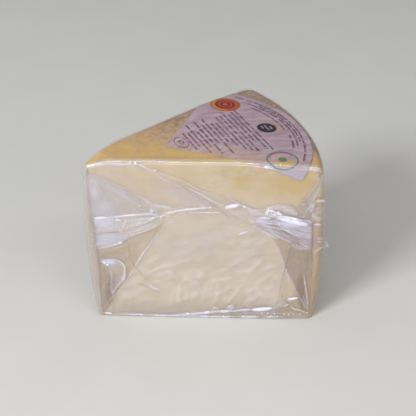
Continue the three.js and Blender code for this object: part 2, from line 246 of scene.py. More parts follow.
def wedgeShell(size, lift):
    # rows climb from the middle of the base, round the foot, up the wall, over the edge and on to
    # the middle of the upper rind; every row has the same number of points
    s = np.linspace(0.0, perimeter, size["around"], endpoint=False)
    at, out, heel = outlineAt(s)
    edge, foot = edgeRadius(heel), wedge["footRadius"]
    turn = np.linspace(0.0, quarterTurn, size["edgeRows"])[:, None]
    wall = np.linspace(0.0, 1.0, size["wallRows"] + 2)[1:-1, None]
    wallTop = wedge["height"] - edge
    h = np.concatenate([
        np.broadcast_to(foot - foot * turn[::-1], (len(turn), len(s))),
        foot + (wallTop - foot) * wall,
        wallTop + edge * turn,
    ])
    points, normals = sidePoint(s[None, :], h, lift)
    middle = at.mean(0)
    top = ringsTowards(middle, points[-1, :, :2], 0.0, 1.0, size["topRings"])
    topZ = wedge["height"] - rindDrop(top) + lift
    top = np.concatenate([top, topZ[..., None]], -1)
    base = ringsTowards(middle, points[0, :, :2], 1.0, 0.0, size["baseRings"])
    base = np.concatenate([base, np.full(base.shape[:2], -lift)[..., None]], -1)
    points = np.concatenate([base, points, top])
    up = np.array([0.0, 0.0, 1.0])
    normals = np.concatenate([np.zeros_like(base) - up, normals, np.zeros_like(top) + up])
    poles = np.array([[*middle, -lift], [*middle, wedge["height"] + lift]])
    poles[1, 2] -= rindDrop(middle)
    return points, normals, poles


def gridFaces(rows, columns, around=False, first=0):
    # a quad for each cell of a grid of points; around joins each row's last point to its first
    across = columns if around else columns - 1
    r, c = np.meshgrid(np.arange(rows - 1), np.arange(across), indexing="ij")
    right = (c + 1) % columns
    low, high = r * columns, (r + 1) * columns
    return np.stack([low + c, low + right, high + right, high + c], -1).reshape(-1, 4) + first


def addPiece(name, points, faces, material, values=None):
    # points are in the wheel's frame, in millimetres; values are one number for each point
    place = np.asarray(points, float).reshape(-1, 3)
    place = place + np.array([*wedge["wheelCentre"], 0.0])
    mesh = bpy.data.meshes.new(name)
    mesh.from_pydata(place * millimetre, [], faces if isinstance(faces, list) else faces.tolist())
    for key, column in (values or {}).items():
        layer = mesh.attributes.new(key, "FLOAT", "POINT")
        layer.data.foreach_set("value", np.asarray(column, np.float32).ravel())
    mesh.validate()
    mesh.polygons.foreach_set("use_smooth", np.ones(len(mesh.polygons), bool))
    mesh.materials.append(material)
    piece = bpy.data.objects.new(name, mesh)
    bpy.context.scene.collection.objects.link(piece)
    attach(piece, "root")
    return piece


def shellFaces(points, poles):
    # quads between the rows, and a fan of triangles to the pole at each end
    rows, columns = points.shape[:2]
    quads = gridFaces(rows, columns, around=True)
    c = np.arange(columns)
    low, high = rows * columns, rows * columns + 1
    bottom = np.stack([np.full(columns, low), (c + 1) % columns, c], -1)
    last = (rows - 1) * columns
    top = np.stack([np.full(columns, high), last + c, last + (c + 1) % columns], -1)
    flat = np.concatenate([points.reshape(-1, 3), poles])
    return flat, [*quads.tolist(), *bottom.tolist(), *top.tolist()]


def addWall(piece, thickness):
    # gives an open sheet its thickness on the inner side, with closed rims
    wall = piece.modifiers.new("wall", "SOLIDIFY")
    wall.thickness = thickness * millimetre
    wall.offset = -1.0
    wall.use_rim = True
    return piece


def smoothPath(marks, count):
    # Catmull-Rom through the marks, spaced by their distance apart
    marks = np.asarray(marks, float)
    steps = np.concatenate([[0.0], np.cumsum(np.linalg.norm(np.diff(marks, axis=0), axis=1))])
    along = np.linspace(0.0, steps[-1], count)
    if len(marks) > 2:
        slopes = np.gradient(marks, steps, axis=0)
    else:
        slopes = np.diff(marks, axis=0)[[0, 0]] / steps[-1]
    cell = np.clip(np.searchsorted(steps, along, side="right") - 1, 0, len(marks) - 2)
    width = steps[cell + 1] - steps[cell]
    t = ((along - steps[cell]) / width)[:, None]
    width = width[:, None]
    a, b = marks[cell], marks[cell + 1]
    ma, mb = slopes[cell] * width, slopes[cell + 1] * width
    return (
        (2 * t**3 - 3 * t**2 + 1) * a
        + (t**3 - 2 * t**2 + t) * ma
        + (3 * t**2 - 2 * t**3) * b
        + (t**3 - t**2) * mb
    )


def distanceToPath(points, path):
    # the least distance from each point to the path's pieces, positive on the left of its run,
    # and how far along the path that is
    best = np.full(points.shape[:-1], 1e9)
    share = np.zeros(points.shape[:-1])
    side = np.ones(points.shape[:-1])
    count = len(path) - 1
    for i in range(count):
        a, b = path[i], path[i + 1]
        run = b - a
        d = points - a
        t = np.clip((d @ run) / max(run @ run, 1e-9), 0.0, 1.0)
        gap = np.linalg.norm(d - t[..., None] * run, axis=-1)
        nearer = gap < best
        best = np.where(nearer, gap, best)
        share = np.where(nearer, (i + t) / count, share)
        side = np.where(nearer, np.sign(run[0] * d[..., 1] - run[1] * d[..., 0]), side)
    return best * side, share


# Materials


def node(tree, kind, inputs=None, **settings):
    made = tree.nodes.new(kind)
    for key, value in settings.items():
        setattr(made, key, value)
    for key, value in (inputs or {}).items():
        if isinstance(value, bpy.types.NodeSocket):
            tree.links.new(value, made.inputs[key])
        else:
            made.inputs[key].default_value = value
    return made


def newMaterial(name):
    # an empty material with its output and the piece's own coordinates
    material = bpy.data.materials.new(name)
    material.use_nodes = True
    tree = material.node_tree
    tree.nodes.clear()
    output = tree.nodes.new("ShaderNodeOutputMaterial")
    return material, tree, output, node(tree, "ShaderNodeTexCoord").outputs["Object"]


def maths(tree, operation, a, b=0.0, c=0.0):
    return node(tree, "ShaderNodeMath", {0: a, 1: b, 2: c}, operation=operation).outputs[0]


def mixColour(tree, amount, a, b):
    settings = {"data_type": "RGBA", "blend_type": "MIX"}
    return node(tree, "ShaderNodeMix", {0: amount, 6: a, 7: b}, **settings).outputs[2]


def ramp(tree, value, stops):
    made = node(tree, "ShaderNodeValToRGB", {0: value})
    band = made.color_ramp
    band.elements[0].position, band.elements[0].color = stops[0][0], (*stops[0][1], 1.0)
    band.elements[1].position, band.elements[1].color = stops[-1][0], (*stops[-1][1], 1.0)
    for place, colour in stops[1:-1]:
        band.elements.new(place).color = (*colour, 1.0)
    return made.outputs[0]


def mask(tree, value, low, high):
    # black up to low and white from high
    return ramp(tree, value, [(low, (0.0, 0.0, 0.0)), (high, (1.0, 1.0, 1.0))])


def linear(r, g, b):
    # screen values from 0 to 255 as the scene's linear ones
    v = np.array([r, g, b]) / 255.0
    return tuple(float(x) for x in np.where(v <= 0.04045, v / 12.92, ((v + 0.055) / 1.055) ** 2.4))


def solid(tint):
    return (*linear(*tint), 1.0)


def attribute(tree, name):
    return node(tree, "ShaderNodeAttribute", attribute_name=name).outputs["Fac"]


def noise(tree, coords, scale, detail=3.0, roughness=0.5, distortion=0.0):
    inputs = {"Vector": coords, "Scale": scale, "Detail": detail, "Roughness": roughness,
              "Distortion": distortion}
    return node(tree, "ShaderNodeTexNoise", inputs).outputs[0]


def drawnOut(tree, coords, angle, long):
    # coordinates stretched along one direction in plan
    inputs = {"Vector": coords, "Rotation": (0.0, 0.0, math.radians(angle)), "Scale": (long, 1.0, 1.0)}
    return node(tree, "ShaderNodeMapping", inputs, vector_type="TEXTURE").outputs[0]


def bumped(tree, height, strength, depth):
    inputs = {"Height": height, "Strength": strength, "Distance": depth}
    return node(tree, "ShaderNodeBump", inputs).outputs[0]


def coat(tree, output, inputs):
    shader = node(tree, "ShaderNodeBsdfPrincipled", inputs)
    tree.links.new(shader.outputs[0], output.inputs[0])


# The scales are how many cells of a pattern there are in a metre.
cheeseLook = {
    "tints": {
        # Painted light among these tints: the deep paste also shades the ridges' troughs, the crest tint
        # lights their crests, the foot tint shades the base, the pale rind tint paints the film's glints
        # on the rind, and the far rind tint shades the rind away from the front.
        "paste": (218, 203, 184),
        "pasteDeepAndTroughShade": (210, 192, 160),
        "pasteCrestHighlight": (228, 216, 204),
        "pasteFootShade": (184, 168, 142),
        "rindGold": (228, 188, 88),
        "rindTan": (206, 168, 116),
        "rindGlint": (220, 190, 170),
        "rindFarShade": (156, 126, 103),
        "underRind": (197, 167, 103),
    },
    "scales": {
        "broad": 60.0,
        "stain": 130.0,
        "blotch": 260.0,
        "stroke": 900.0,
        "cross": 760.0,
        "smear": 70.0,
        "grain": 900.0,
    },
    "strokes": (66.0, 3.2),  # angle in plan and how long they are drawn out
    "crossStrokes": (24.0, 3.0),
    "smearSquash": (1.0, 1.0, 3.4),
    "bump": 0.3,
    "bumpDepth": 0.0004,
    "body": {
        "Roughness": 0.55,
        "Subsurface Weight": 0.08,
        "Subsurface Radius": (1.0, 0.6, 0.25),
        "Subsurface Scale": 0.004,
    },
}


def cheeseMaterial():
    # shares from attributes: rind runs from 0 on the cut paste to 1 on the rind, under is the
    # golden paste beneath it, foot darkens the paste towards the base as painted shade, crest
    # lays painted highlight on the ridges' crests and painted shade in their troughs, far darkens
    # and browns the rind away from the front as painted shade, and upper is the top, where short
    # pale streaks on the rind are painted glints of the film's wrinkles
    material, tree, output, coords = newMaterial("ivoryCheese")
    look = {name: solid(tint) for name, tint in cheeseLook["tints"].items()}
    scales = cheeseLook["scales"]
    broad = noise(tree, coords, scales["broad"], 5.0, 0.6)
    paste = ramp(tree, broad, [(0.38, look["paste"][:3]), (0.66, look["pasteDeepAndTroughShade"][:3])])
    # painted shade in the troughs between the front ridges, painted highlight on their crests
    crest = attribute(tree, "crest")
    trough = maths(tree, "SUBTRACT", 0.8, maths(tree, "MULTIPLY", crest, 2.0))
    paste = mixColour(tree, maths(tree, "MAXIMUM", trough, 0.0), paste, look["pasteDeepAndTroughShade"])
    ridge = maths(tree, "SUBTRACT", maths(tree, "MULTIPLY", crest, 1.6), 0.6)
    paste = mixColour(tree, maths(tree, "MAXIMUM", ridge, 0.0), paste, look["pasteCrestHighlight"])
    stain = maths(tree, "MULTIPLY_ADD", noise(tree, coords, scales["stain"], 6.0, 0.6), 2.6, -0.3)
    golden = maths(tree, "MULTIPLY", attribute(tree, "under"), stain)
    paste = mixColour(tree, golden, paste, look["underRind"])
    # painted shade: the paste darkens towards the foot
    paste = mixColour(tree, attribute(tree, "foot"), paste, look["pasteFootShade"])

    blotch = noise(tree, coords, scales["blotch"], 6.0, 0.66)
    fine = maths(tree, "MULTIPLY", blotch, 0.9)
    # painted shade: far darkens and browns the rind away from the front, over its real mottles
    level = maths(tree, "MULTIPLY_ADD", attribute(tree, "far"), 0.7, fine)
    gold, tan, far = (look[name][:3] for name in ("rindGold", "rindTan", "rindFarShade"))
    crust = ramp(tree, level, [(0.41, gold), (0.64, tan), (1.0, far)])
    # painted highlight: short pale strokes on the top rind stand in for glints of the film's wrinkles
    stroke = noise(tree, drawnOut(tree, coords, *cheeseLook["strokes"]), scales["stroke"], 3.0, 0.6)
    cross = noise(tree, drawnOut(tree, coords, *cheeseLook["crossStrokes"]), scales["cross"], 3.0, 0.6)
    strokes = maths(tree, "MAXIMUM", mask(tree, stroke, 0.5, 0.66), mask(tree, cross, 0.5, 0.66))
    onTop = maths(tree, "MULTIPLY", attribute(tree, "upper"), 0.5)
    strokes = maths(tree, "MULTIPLY", strokes, onTop)
    crust = mixColour(tree, strokes, crust, look["rindGlint"])
    squashed = node(tree, "ShaderNodeMapping", {"Vector": coords, "Scale": cheeseLook["smearSquash"]})
    smear = noise(tree, squashed.outputs[0], scales["smear"], 6.0, 0.6)
    smear = maths(tree, "MULTIPLY", mask(tree, smear, 0.46, 0.66), 0.4)
    crust = mixColour(tree, smear, crust, look["rindTan"])
    rind = attribute(tree, "rind")
    colour = mixColour(tree, rind, paste, crust)

    grain = maths(tree, "MULTIPLY", noise(tree, coords, scales["grain"], 4.0), 0.3)
    relief = maths(tree, "ADD", grain, maths(tree, "MULTIPLY", blotch, rind))
    normal = bumped(tree, relief, cheeseLook["bump"], cheeseLook["bumpDepth"])
    coat(tree, output, {"Base Color": colour, "Normal": normal, **cheeseLook["body"]})
    return material


filmLook = {
    "tint": (236, 240, 250),
    "gloss": 0.09,
    "crinkle": 0.14,
    "crinkleScale": 260.0,
    "crinkleDepth": 0.0006,
    "mirror": 0.03,  # mirrored by each face where it is seen straight on
    "mirrorEdge": 0.4,  # more of it towards a glancing view
}


def filmMaterial(name, haze, tint=filmLook["tint"], roughness=filmLook["gloss"]):
    # clear sheet: each of its two faces mirrors a share of 0.03 + 0.4 (1 - cos)^5, and a milky
    # share from the attribute haze scatters; the rest goes straight through. On the bright folds this
    # milky share also paints highlights, and on the dark-tinted folds and sheets it paints shade
    material, tree, output, coords = newMaterial(name)
    fine = noise(tree, coords, filmLook["crinkleScale"], distortion=0.6)
    bump = bumped(tree, fine, filmLook["crinkle"], filmLook["crinkleDepth"])
    facing = node(tree, "ShaderNodeLayerWeight", {"Blend": 0.5, "Normal": bump}).outputs["Facing"]
    glancing = maths(tree, "POWER", facing, 5.0)
    mirror = maths(tree, "MULTIPLY_ADD", glancing, filmLook["mirrorEdge"], filmLook["mirror"])
    gloss = node(tree, "ShaderNodeBsdfPrincipled", {
        "Base Color": (1.0, 1.0, 1.0, 1.0),
        "Metallic": 1.0,
        "Roughness": roughness,
        "Normal": bump,
    })
    milk = node(tree, "ShaderNodeBsdfDiffuse", {"Color": solid(tint), "Normal": bump})
    clear = node(tree, "ShaderNodeBsdfTransparent")
    cloud = maths(tree, "MULTIPLY", attribute(tree, "haze"), haze)
    body = node(tree, "ShaderNodeMixShader", {0: cloud, 1: clear.outputs[0], 2: milk.outputs[0]})
    whole = node(tree, "ShaderNodeMixShader", {0: mirror, 1: body.outputs[0], 2: gloss.outputs[0]})
    tree.links.new(whole.outputs[0], output.inputs[0])
    return material


plainLook = {"specular": 0.2, "bump": 0.1, "bumpDepth": 0.0001}


def plainMaterial(name, colour, roughness, grainScale, grain):
    # one tint with a faint grain in its tone and its surface
    material, tree, output, coords = newMaterial(name)
    speck = noise(tree, coords, grainScale, 2.0)
    tint = linear(*colour)
    low = tuple(c * (1.0 - grain) for c in tint)
    high = tuple(min(c * (1.0 + grain), 1.0) for c in tint)
    coat(tree, output, {
        "Base Color": ramp(tree, speck, [(0.35, low), (0.65, high)]),
        "Roughness": roughness,
        "Specular IOR Level": plainLook["specular"],
        "Normal": bumped(tree, speck, plainLook["bump"], plainLook["bumpDepth"]),
    })
    return material


# The cheese

# A pair is where an eased share starts and where it is complete.
cheese = {
    "size": {"around": 420, "edgeRows": 7, "wallRows": 96, "topRings": 60, "baseRings": 10},
    "lift": -0.5,  # under the film
    "wave": 0.12,  # soft waves of the cut faces
    "waveSize": (14.0, 14.0, 8.0),
    "ripple": 0.3,  # slanting ripples low on the cut faces
    "rippleTilt": 25.0,
    "rippleLong": 5.0,
    "rippleWide": 1.8,
    "rippleTop": (60.0, 34.0),
    "uprightTop": (26.0, 10.0),
    "patchSize": 16.0,  # of the places with one kind of ripple or the other
    "ridge": 0.8,  # share of the front ridges' heights
    "ridgeHalf": 0.85,
    "rindGrain": 0.1,
    "grainSize": 1.7,
    "coarseGrain": 3.6,
    "rindBand": 0.5,  # how far the rind shows down a cut face
    "edgeSheen": (3.4, 0.6),  # painted highlight: distance from the front cut where the rind fades paler
    "edgeSheenHeel": (92.0, 70.0),
    "goldenTop": (30.0, 2.0),  # golden paste under the upper rind
    "goldenHeel": (75.0, 5.0),
    "goldenSide": (14.0, 1.0),  # and inside the heel
    # painted shade: the paste darkens below this height, towards the foot
    "footShade": (14.0, 0.5),
    "backShade": (0.0, 48.0),  # painted shade: distance from the front where the rind turns darker and browner
    "heelBackShade": (80.0, 97.0),
    "seed": 3,
}

# Soft ridges low on the front face: height, and the path from the front drawing's mark.
frontRidges = [
    (0.5, [(25.5, 24.2), (28.2, 25.4), (32.9, 28.1)]),
    (0.4, [(26.7, 21.6), (29.5, 22.4), (34.4, 24.4)]),
    (0.5, [(27, 18.6), (31.1, 19.6), (34.4, 22.5)]),
    (0.4, [(24.4, 16.6), (26.6, 15.2), (30.2, 14.6)]), (0.4, [(32.6, 13.7), (32.2, 8.8)]),
    (0.4, [(35.4, 15.1), (34.4, 8.9), (34.6, 6.8)]), (0.5, [(38.1, 17.8), (37.5, 13), (38, 8.2)]),
    (0.4, [(39.7, 19.2), (41.1, 21.6)]), (0.4, [(42, 19.9), (44.6, 17.9), (46.7, 17.4)]),
    (0.4, [(48.9, 13.6), (50, 18), (52.2, 19.8)]), (0.5, [(53.6, 20), (57.6, 20.8), (60, 21.6)]),
    (0.4, [(45.2, 30), (48.6, 31)]), (0.4, [(46, 21.4), (48, 23.6)]),
    (0.4, [(55.4, 25.4), (58, 25.8)]), (0.4, [(70.4, 10.4), (73.2, 13)]),
    (0.4, [(29.6, 9.4), (30.4, 12.4)]), (0.4, [(41, 9), (41.2, 13.6)]),
    (0.4, [(25.2, 29.4), (29.4, 32)]), (0.4, [(47.8, 8.4), (48.8, 11.6)]),
    (0.3, [(64.6, 45.2), (68, 46.6)]), (0.4, [(51.5, 12.4), (51.9, 16.1)]),
    (0.5, [(53.9, 12.4), (54.6, 17.1)]),
    (0.5, [(57.6, 14.2), (59.2, 16.2), (63.1, 17), (65.2, 17.7)]),
    (0.3, [(33.4, 49), (34.9, 50.3)]), (0.3, [(42.7, 40.9), (46.9, 41.6), (51, 41.1)]),
    (0.3, [(57.3, 46.3), (60.5, 47.7)]), (0.3, [(46.9, 33.2), (51.6, 34.6), (57.5, 34.2)]),
    (0.3, [(59.5, 40), (63.8, 41.4)]), (0.5, [(52.2, 7.2), (54.3, 10.7), (55.5, 13.5)]),
    (0.6, [(58.8, 8), (61.5, 12.2)]), (0.3, [(37.4, 38.3), (41, 39.3)]),
    (0.3, [(34.5, 33), (38.4, 34.4), (42.1, 34.2)]), (0.3, [(43.6, 25.9), (46.9, 24.7)]),
    (0.3, [(61.8, 29.6), (65, 31.6)]), (0.3, [(30.5, 39.4), (33.1, 40.8)]),
    (0.4, [(59.6, 34), (64.4, 34.7), (69.5, 36.7)]),
    (0.4, [(67.7, 33.1), (71, 34.5), (73.7, 35.2)]), (0.5, [(74.4, 26.4), (77.6, 28.3)]),
    (0.6, [(63.7, 24.8), (68, 25.6), (71.1, 28.7), (73, 30.5)]),
    (0.4, [(61.8, 18.8), (64.7, 20.1)]), (0.5, [(72.3, 19.2), (75.6, 22.3), (76.9, 23.5)]),
    (0.5, [(59.8, 28.2), (62.7, 29.5)]), (0.3, [(72.7, 40.3), (75.4, 41)]),
    (0.4, [(61.8, 13.5), (63.8, 15.3)]), (0.5, [(68.5, 14.8), (71.4, 16.7)]),
    (0.4, [(76.2, 15.6), (78, 17.6)]), (0.3, [(64.4, 40), (67.5, 40.7)]),
    (0.4, [(78.7, 20.7), (79.6, 22.5)]),
    (0.5, [(32, 26.7), (34.9, 27.3), (38.6, 29.8), (42, 30.2)]), (0.4, [(43.4, 8.5), (45.3, 13.4)]),
    (0.4, [(67, 8.4), (69.6, 11)]), (0.4, [(20, 8), (24, 10)]),
]


def ridgeField(s, z):
    # each ridge is a bell across its path, its height times exp(-(distance / half width)^2)
    place = np.stack([s - wedge["drawingStart"] + outline["start"], z], -1)
    total = np.zeros(s.shape)
    for height, marks in frontRidges:
        gap = distanceToPath(place, smoothPath(marks, 4 * len(marks)))[0]
        total += height * np.exp(-((gap / cheese["ridgeHalf"]) ** 2))
    return total


def cheeseRelief(points, s, rind):
    # soft waves on the cut faces, short slanting ripples low on them, and grain on the rind; also
    # gives how far each place is from a trough (0) to a crest (1)
    z = points[..., 2]
    seed = cheese["seed"]
    long, wide = cheese["rippleLong"], cheese["rippleWide"]
    waves = softNoise(points, cheese["waveSize"], seed)
    tilt = math.radians(cheese["rippleTilt"])
    along = s * math.cos(tilt) + z * math.sin(tilt)
    across = z * math.cos(tilt) - s * math.sin(tilt)
    slanting = softNoise(onPlane(np.stack([along / long, across / wide], -1)), 1.0, seed + 1)
    upright = softNoise(onPlane(np.stack([s / wide, z / long], -1)), 1.0, seed + 2)
    kind = softNoise(points, cheese["patchSize"], seed + 3)
    upright = upright * ease(*cheese["uprightTop"], z) * ease(0.3, -0.3, kind)
    ripples = slanting * ease(-0.4, 0.3, kind) + upright
    low = 0.25 + 0.75 * ease(*cheese["rippleTop"], z)
    ridges = ridgeField(s, z)
    onCut = cheese["wave"] * waves + cheese["ripple"] * ripples * low + cheese["ridge"] * ridges
    grain = softNoise(points, cheese["grainSize"], seed + 4) * 0.6
    grain = grain + softNoise(points, cheese["coarseGrain"], seed + 5) * 0.6
    crest = np.clip(0.36 + 1.0 * ridges + 0.36 * ripples * low, 0.0, 1.0)
    return onCut * (1.0 - rind) + cheese["rindGrain"] * grain * rind, crest


def addCheese():
    points, normals, poles = wedgeShell(cheese["size"], cheese["lift"])
    rows, columns = points.shape[:2]
    s = np.linspace(0.0, perimeter, columns, endpoint=False)
    z, up = points[..., 2], normals[..., 2]
    heelSide = np.broadcast_to(outlineAt(s)[2], z.shape)
    top = wedge["height"] + cheese["lift"] - rindDrop(points[..., :2])
    band = cheese["rindBand"] * (1.0 + 0.5 * softNoise(points, 6.0, cheese["seed"] + 8))
    rind = np.maximum.reduce([
        ease(band, 0.0, top - z),
        ease(band * 0.5, 0.0, z - 0.6),
        ease(0.25, 0.6, heelSide),
    ])
    # painted highlight: near the front cut the top rind, and on the rounded edge both rind and golden
    # paste, fade towards the paler paste where the film gleams along the edge
    edgeSheen = ease(*cheese["edgeSheen"], points[..., 1] - frontY)
    onTop = 0.55 * edgeSheen * (0.7 + 0.5 * softNoise(points, 5.0, cheese["seed"] + 9))
    onTop = 1.0 - onTop * ease(*cheese["edgeSheenHeel"], points[..., 0])
    rind = np.where(np.abs(up) > 0.9, onTop, rind)
    rounded = ease(0.05, 0.4, up) * edgeSheen * (1.0 - heelSide)
    rind = np.where(up < 0.9, rind * (1.0 - 0.8 * rounded), rind)
    fromHeel = wedge["wheelRadius"] - np.linalg.norm(points[..., :2], axis=-1)
    under = np.maximum(
        ease(*cheese["goldenTop"], top - z) * (0.42 + 0.62 * ease(*cheese["goldenHeel"], fromHeel)),
        0.7 * ease(*cheese["goldenSide"], fromHeel),
    )
    under = under * (1.0 - 0.8 * rounded)
    # painted shade at the foot of the cut faces
    foot = ease(*cheese["footShade"], z)
    relief, crest = cheeseRelief(points, np.broadcast_to(s, z.shape), rind)
    relief = relief * (1.0 - ease(3.0, 0.0, z) * (np.abs(up) < 0.9) * 0.8)
    relief = np.where(up < -0.9, 0.0, relief)
    points = points + normals * relief[..., None]
    flat, faces = shellFaces(points, poles)
    # painted shade: far grows away from the front and towards the heel's back corner
    sideways = 0.6 * ease(*cheese["heelBackShade"], flat[:, 0]) * ease(0.0, 16.0, flat[:, 1])
    far = np.clip(0.9 * ease(*cheese["backShade"], flat[:, 1]) + sideways, 0.0, 1.0)
    values = {
        "rind": [*rind.ravel(), 1.0, 1.0],
        "under": [*under.ravel(), 0.0, 0.0],
        "foot": [*foot.ravel(), 0.0, 0.0],
        "crest": [*crest.ravel(), 0.0, 0.0],
        "upper": [*np.clip(up, 0.0, 1.0).ravel(), 1.0, 0.0],
        "far": far,
    }
    return addPiece("cheeseBody", flat, faces, cheeseMaterial(), values)


# The label

label = {
    "point": (34.8, 11.1),
    "frontAngle": -19.2,
    "backAngle": 70.5,
    "middleAngle": 26.0,
    "arcCentre": (43.15, 13.1),
    "arcRadius": 53.2,
    "lift": -0.24,
    "thickness": 0.14,
    "wave": 0.07,
    "waveSizes": (9.0, 4.0),
    "seed": 21,
    "rays": 150,
    "stops": 110,
    "firstStop": 0.012,  # share of a ray that is left open at the very point
    "mottles": (12.0, 3.0),  # angle in plan and how long the pattern is drawn out
    "mottleScale": 330.0,
    "warmPatches": (8.0, 2.5),
    "warmScale": 300.0,
    "streaks": (60.0, 5.0),
    "streakScale": 640.0,
    "roughness": 0.6,
    "specular": 0.25,
    "bump": 0.3,
    "bumpDepth": 0.0004,
    "paper": (199, 173, 182),
    "paperDeep": (174, 145, 156),
    "paperWarm": (210, 172, 148),
    # painted light: the hanging corner's own tint, for how that side of the paper is lit and what the
    # film mirrors over it
    "paperTurnedLight": (182, 169, 180),
    # painted highlight: tint of the pale streaks that stand in for the film's glints
    "paperGlint": (226, 214, 226),
    "warmEdge": (13.0, 2.0),  # distance from the front edge where the paper turns warmer
    "warmStart": (6.0, 20.0),
    "glintReach": (30.0, 6.0),  # distance from the point where the painted glint streaks grow
    "warmReach": (20.0, 6.0),
}
labelPoint = np.array(label["point"])
labelAlong = turned(math.radians(label["middleAngle"]))
labelAcross = np.array([labelAlong[1], -labelAlong[0]])


def paperMaterial():
    # wet-looking paper: stretched soft mottles in its tint, warmer where the attribute warm grows,
    # pale streaks by their own attribute that are painted glints of the film's fine wrinkles, and
    # another tint by turned, painted light on the corner that hangs down
    material, tree, output, coords = newMaterial("labelPaper")
    mottle = noise(tree, drawnOut(tree, coords, *label["mottles"]), label["mottleScale"], 5.0, 0.6)
    tint = ramp(tree, mottle, [(0.36, linear(*label["paperDeep"])), (0.6, linear(*label["paper"]))])
    blots = noise(tree, drawnOut(tree, coords, *label["warmPatches"]), label["warmScale"])
    warm = maths(tree, "MULTIPLY", attribute(tree, "warm"), maths(tree, "MULTIPLY", blots, 1.5))
    tint = mixColour(tree, warm, tint, solid(label["paperWarm"]))
    # painted highlight: pale streaks for glints of the film's fine wrinkles
    streak = noise(tree, drawnOut(tree, coords, *label["streaks"]), label["streakScale"])
    streak = maths(tree, "MULTIPLY", mask(tree, streak, 0.5, 0.68), attribute(tree, "filmGlint"))
    tint = mixColour(tree, streak, tint, solid(label["paperGlint"]))
    # painted light: the corner that hangs down over the front gets its own tint
    tint = mixColour(tree, attribute(tree, "turned"), tint, solid(label["paperTurnedLight"]))
    coat(tree, output, {
        "Base Color": tint,
        "Roughness": label["roughness"],
        "Specular IOR Level": label["specular"],
        "Normal": bumped(tree, mottle, label["bump"], label["bumpDepth"]),
    })
    return material


def shoulderDip(p):
    # how far the quarter round of the shoulder falls, r - sqrt(r^2 - d^2), d past its start
    radius = wedge["shoulderRadius"]
    past = np.clip(np.linalg.norm(p, axis=-1) - wedge["wheelRadius"] + radius, 0.0, radius * 0.97)
    return radius - np.sqrt(radius**2 - past**2)


def laidOnRind(p, lift):
    # flat paper laid on the upper rind; past a cut edge it turns round the edge and hangs down
    p = np.asarray(p, float)
    lift = np.broadcast_to(lift, p.shape[:-1])
    edge = wedge["cutEdgeRadius"]
    point = np.concatenate([p, (wedge["height"] - rindDrop(p) - shoulderDip(p) + lift)[..., None]], -1)
    for out, setback in ((frontOut, wedge["frontCutSetback"]), (backOut, wedge["backCutSetback"])):
        past = p @ out - (setback - edge)
        turn = np.clip(past / edge, 0.0, quarterTurn)
        hang = np.maximum(past - edge * quarterTurn, 0.0)
        foot = p - out * past[..., None]
        bent = foot + out * ((edge + lift) * np.sin(turn))[..., None]
        z = wedge["height"] - rindDrop(foot) - shoulderDip(foot) - edge
        z = z + (edge + lift) * np.cos(turn) - hang
        bent = np.concatenate([bent, z[..., None]], -1)
        point = np.where((past > 0.0)[..., None], bent, point)
    return point


def paperWave(p):
    # long waves, and shorter ones of half their height
    spot, seed = onPlane(p), label["seed"]
    long, short = label["waveSizes"]
    return label["wave"] * (softNoise(spot, long, seed) + 0.5 * softNoise(spot, short, seed + 1))


def labelReach(along):
    # how far a ray runs from the label's point to its round edge, a circle about arcCentre
    offset = labelPoint - np.array(label["arcCentre"])
    b = along @ offset
    return -b + np.sqrt(b**2 - offset @ offset + label["arcRadius"] ** 2)


def addLabel():
    # a fan of rays from the label's point out to its round edge
    angles = np.radians(np.linspace(label["frontAngle"], label["backAngle"], label["rays"]))
    along = turned(angles)
    share = np.linspace(label["firstStop"], 1.0, label["stops"])[:, None]
    p = labelPoint + along[None] * (labelReach(along) * share)[..., None]
    points = laidOnRind(p, label["lift"] + paperWave(p))
    faces = gridFaces(*points.shape[:2])[:, ::-1]
    toEdge = (p - labelPoint) @ turned(math.radians(label["frontAngle"]) + quarterTurn)
    fromPoint = (p - labelPoint) @ labelAlong
    fromCut = p[..., 1] - frontY
    warm = ease(*label["warmEdge"], toEdge) * ease(*label["warmStart"], p[..., 0] - labelPoint[0])
    warm = warm * ease(-1.0, 2.0, fromCut)
    values = {
        "warm": np.maximum(warm, 0.45 * ease(*label["warmReach"], fromPoint)),
        # the hanging corner, which gets a tint of painted light
        "turned": ease(1.0, -1.0, fromCut),
        # where the painted glint streaks show
        "filmGlint": 0.12 + 0.4 * ease(*label["glintReach"], fromPoint),
    }
    piece = addPiece("labelPaper", points, faces, paperMaterial(), values)
    return addWall(piece, label["thickness"])


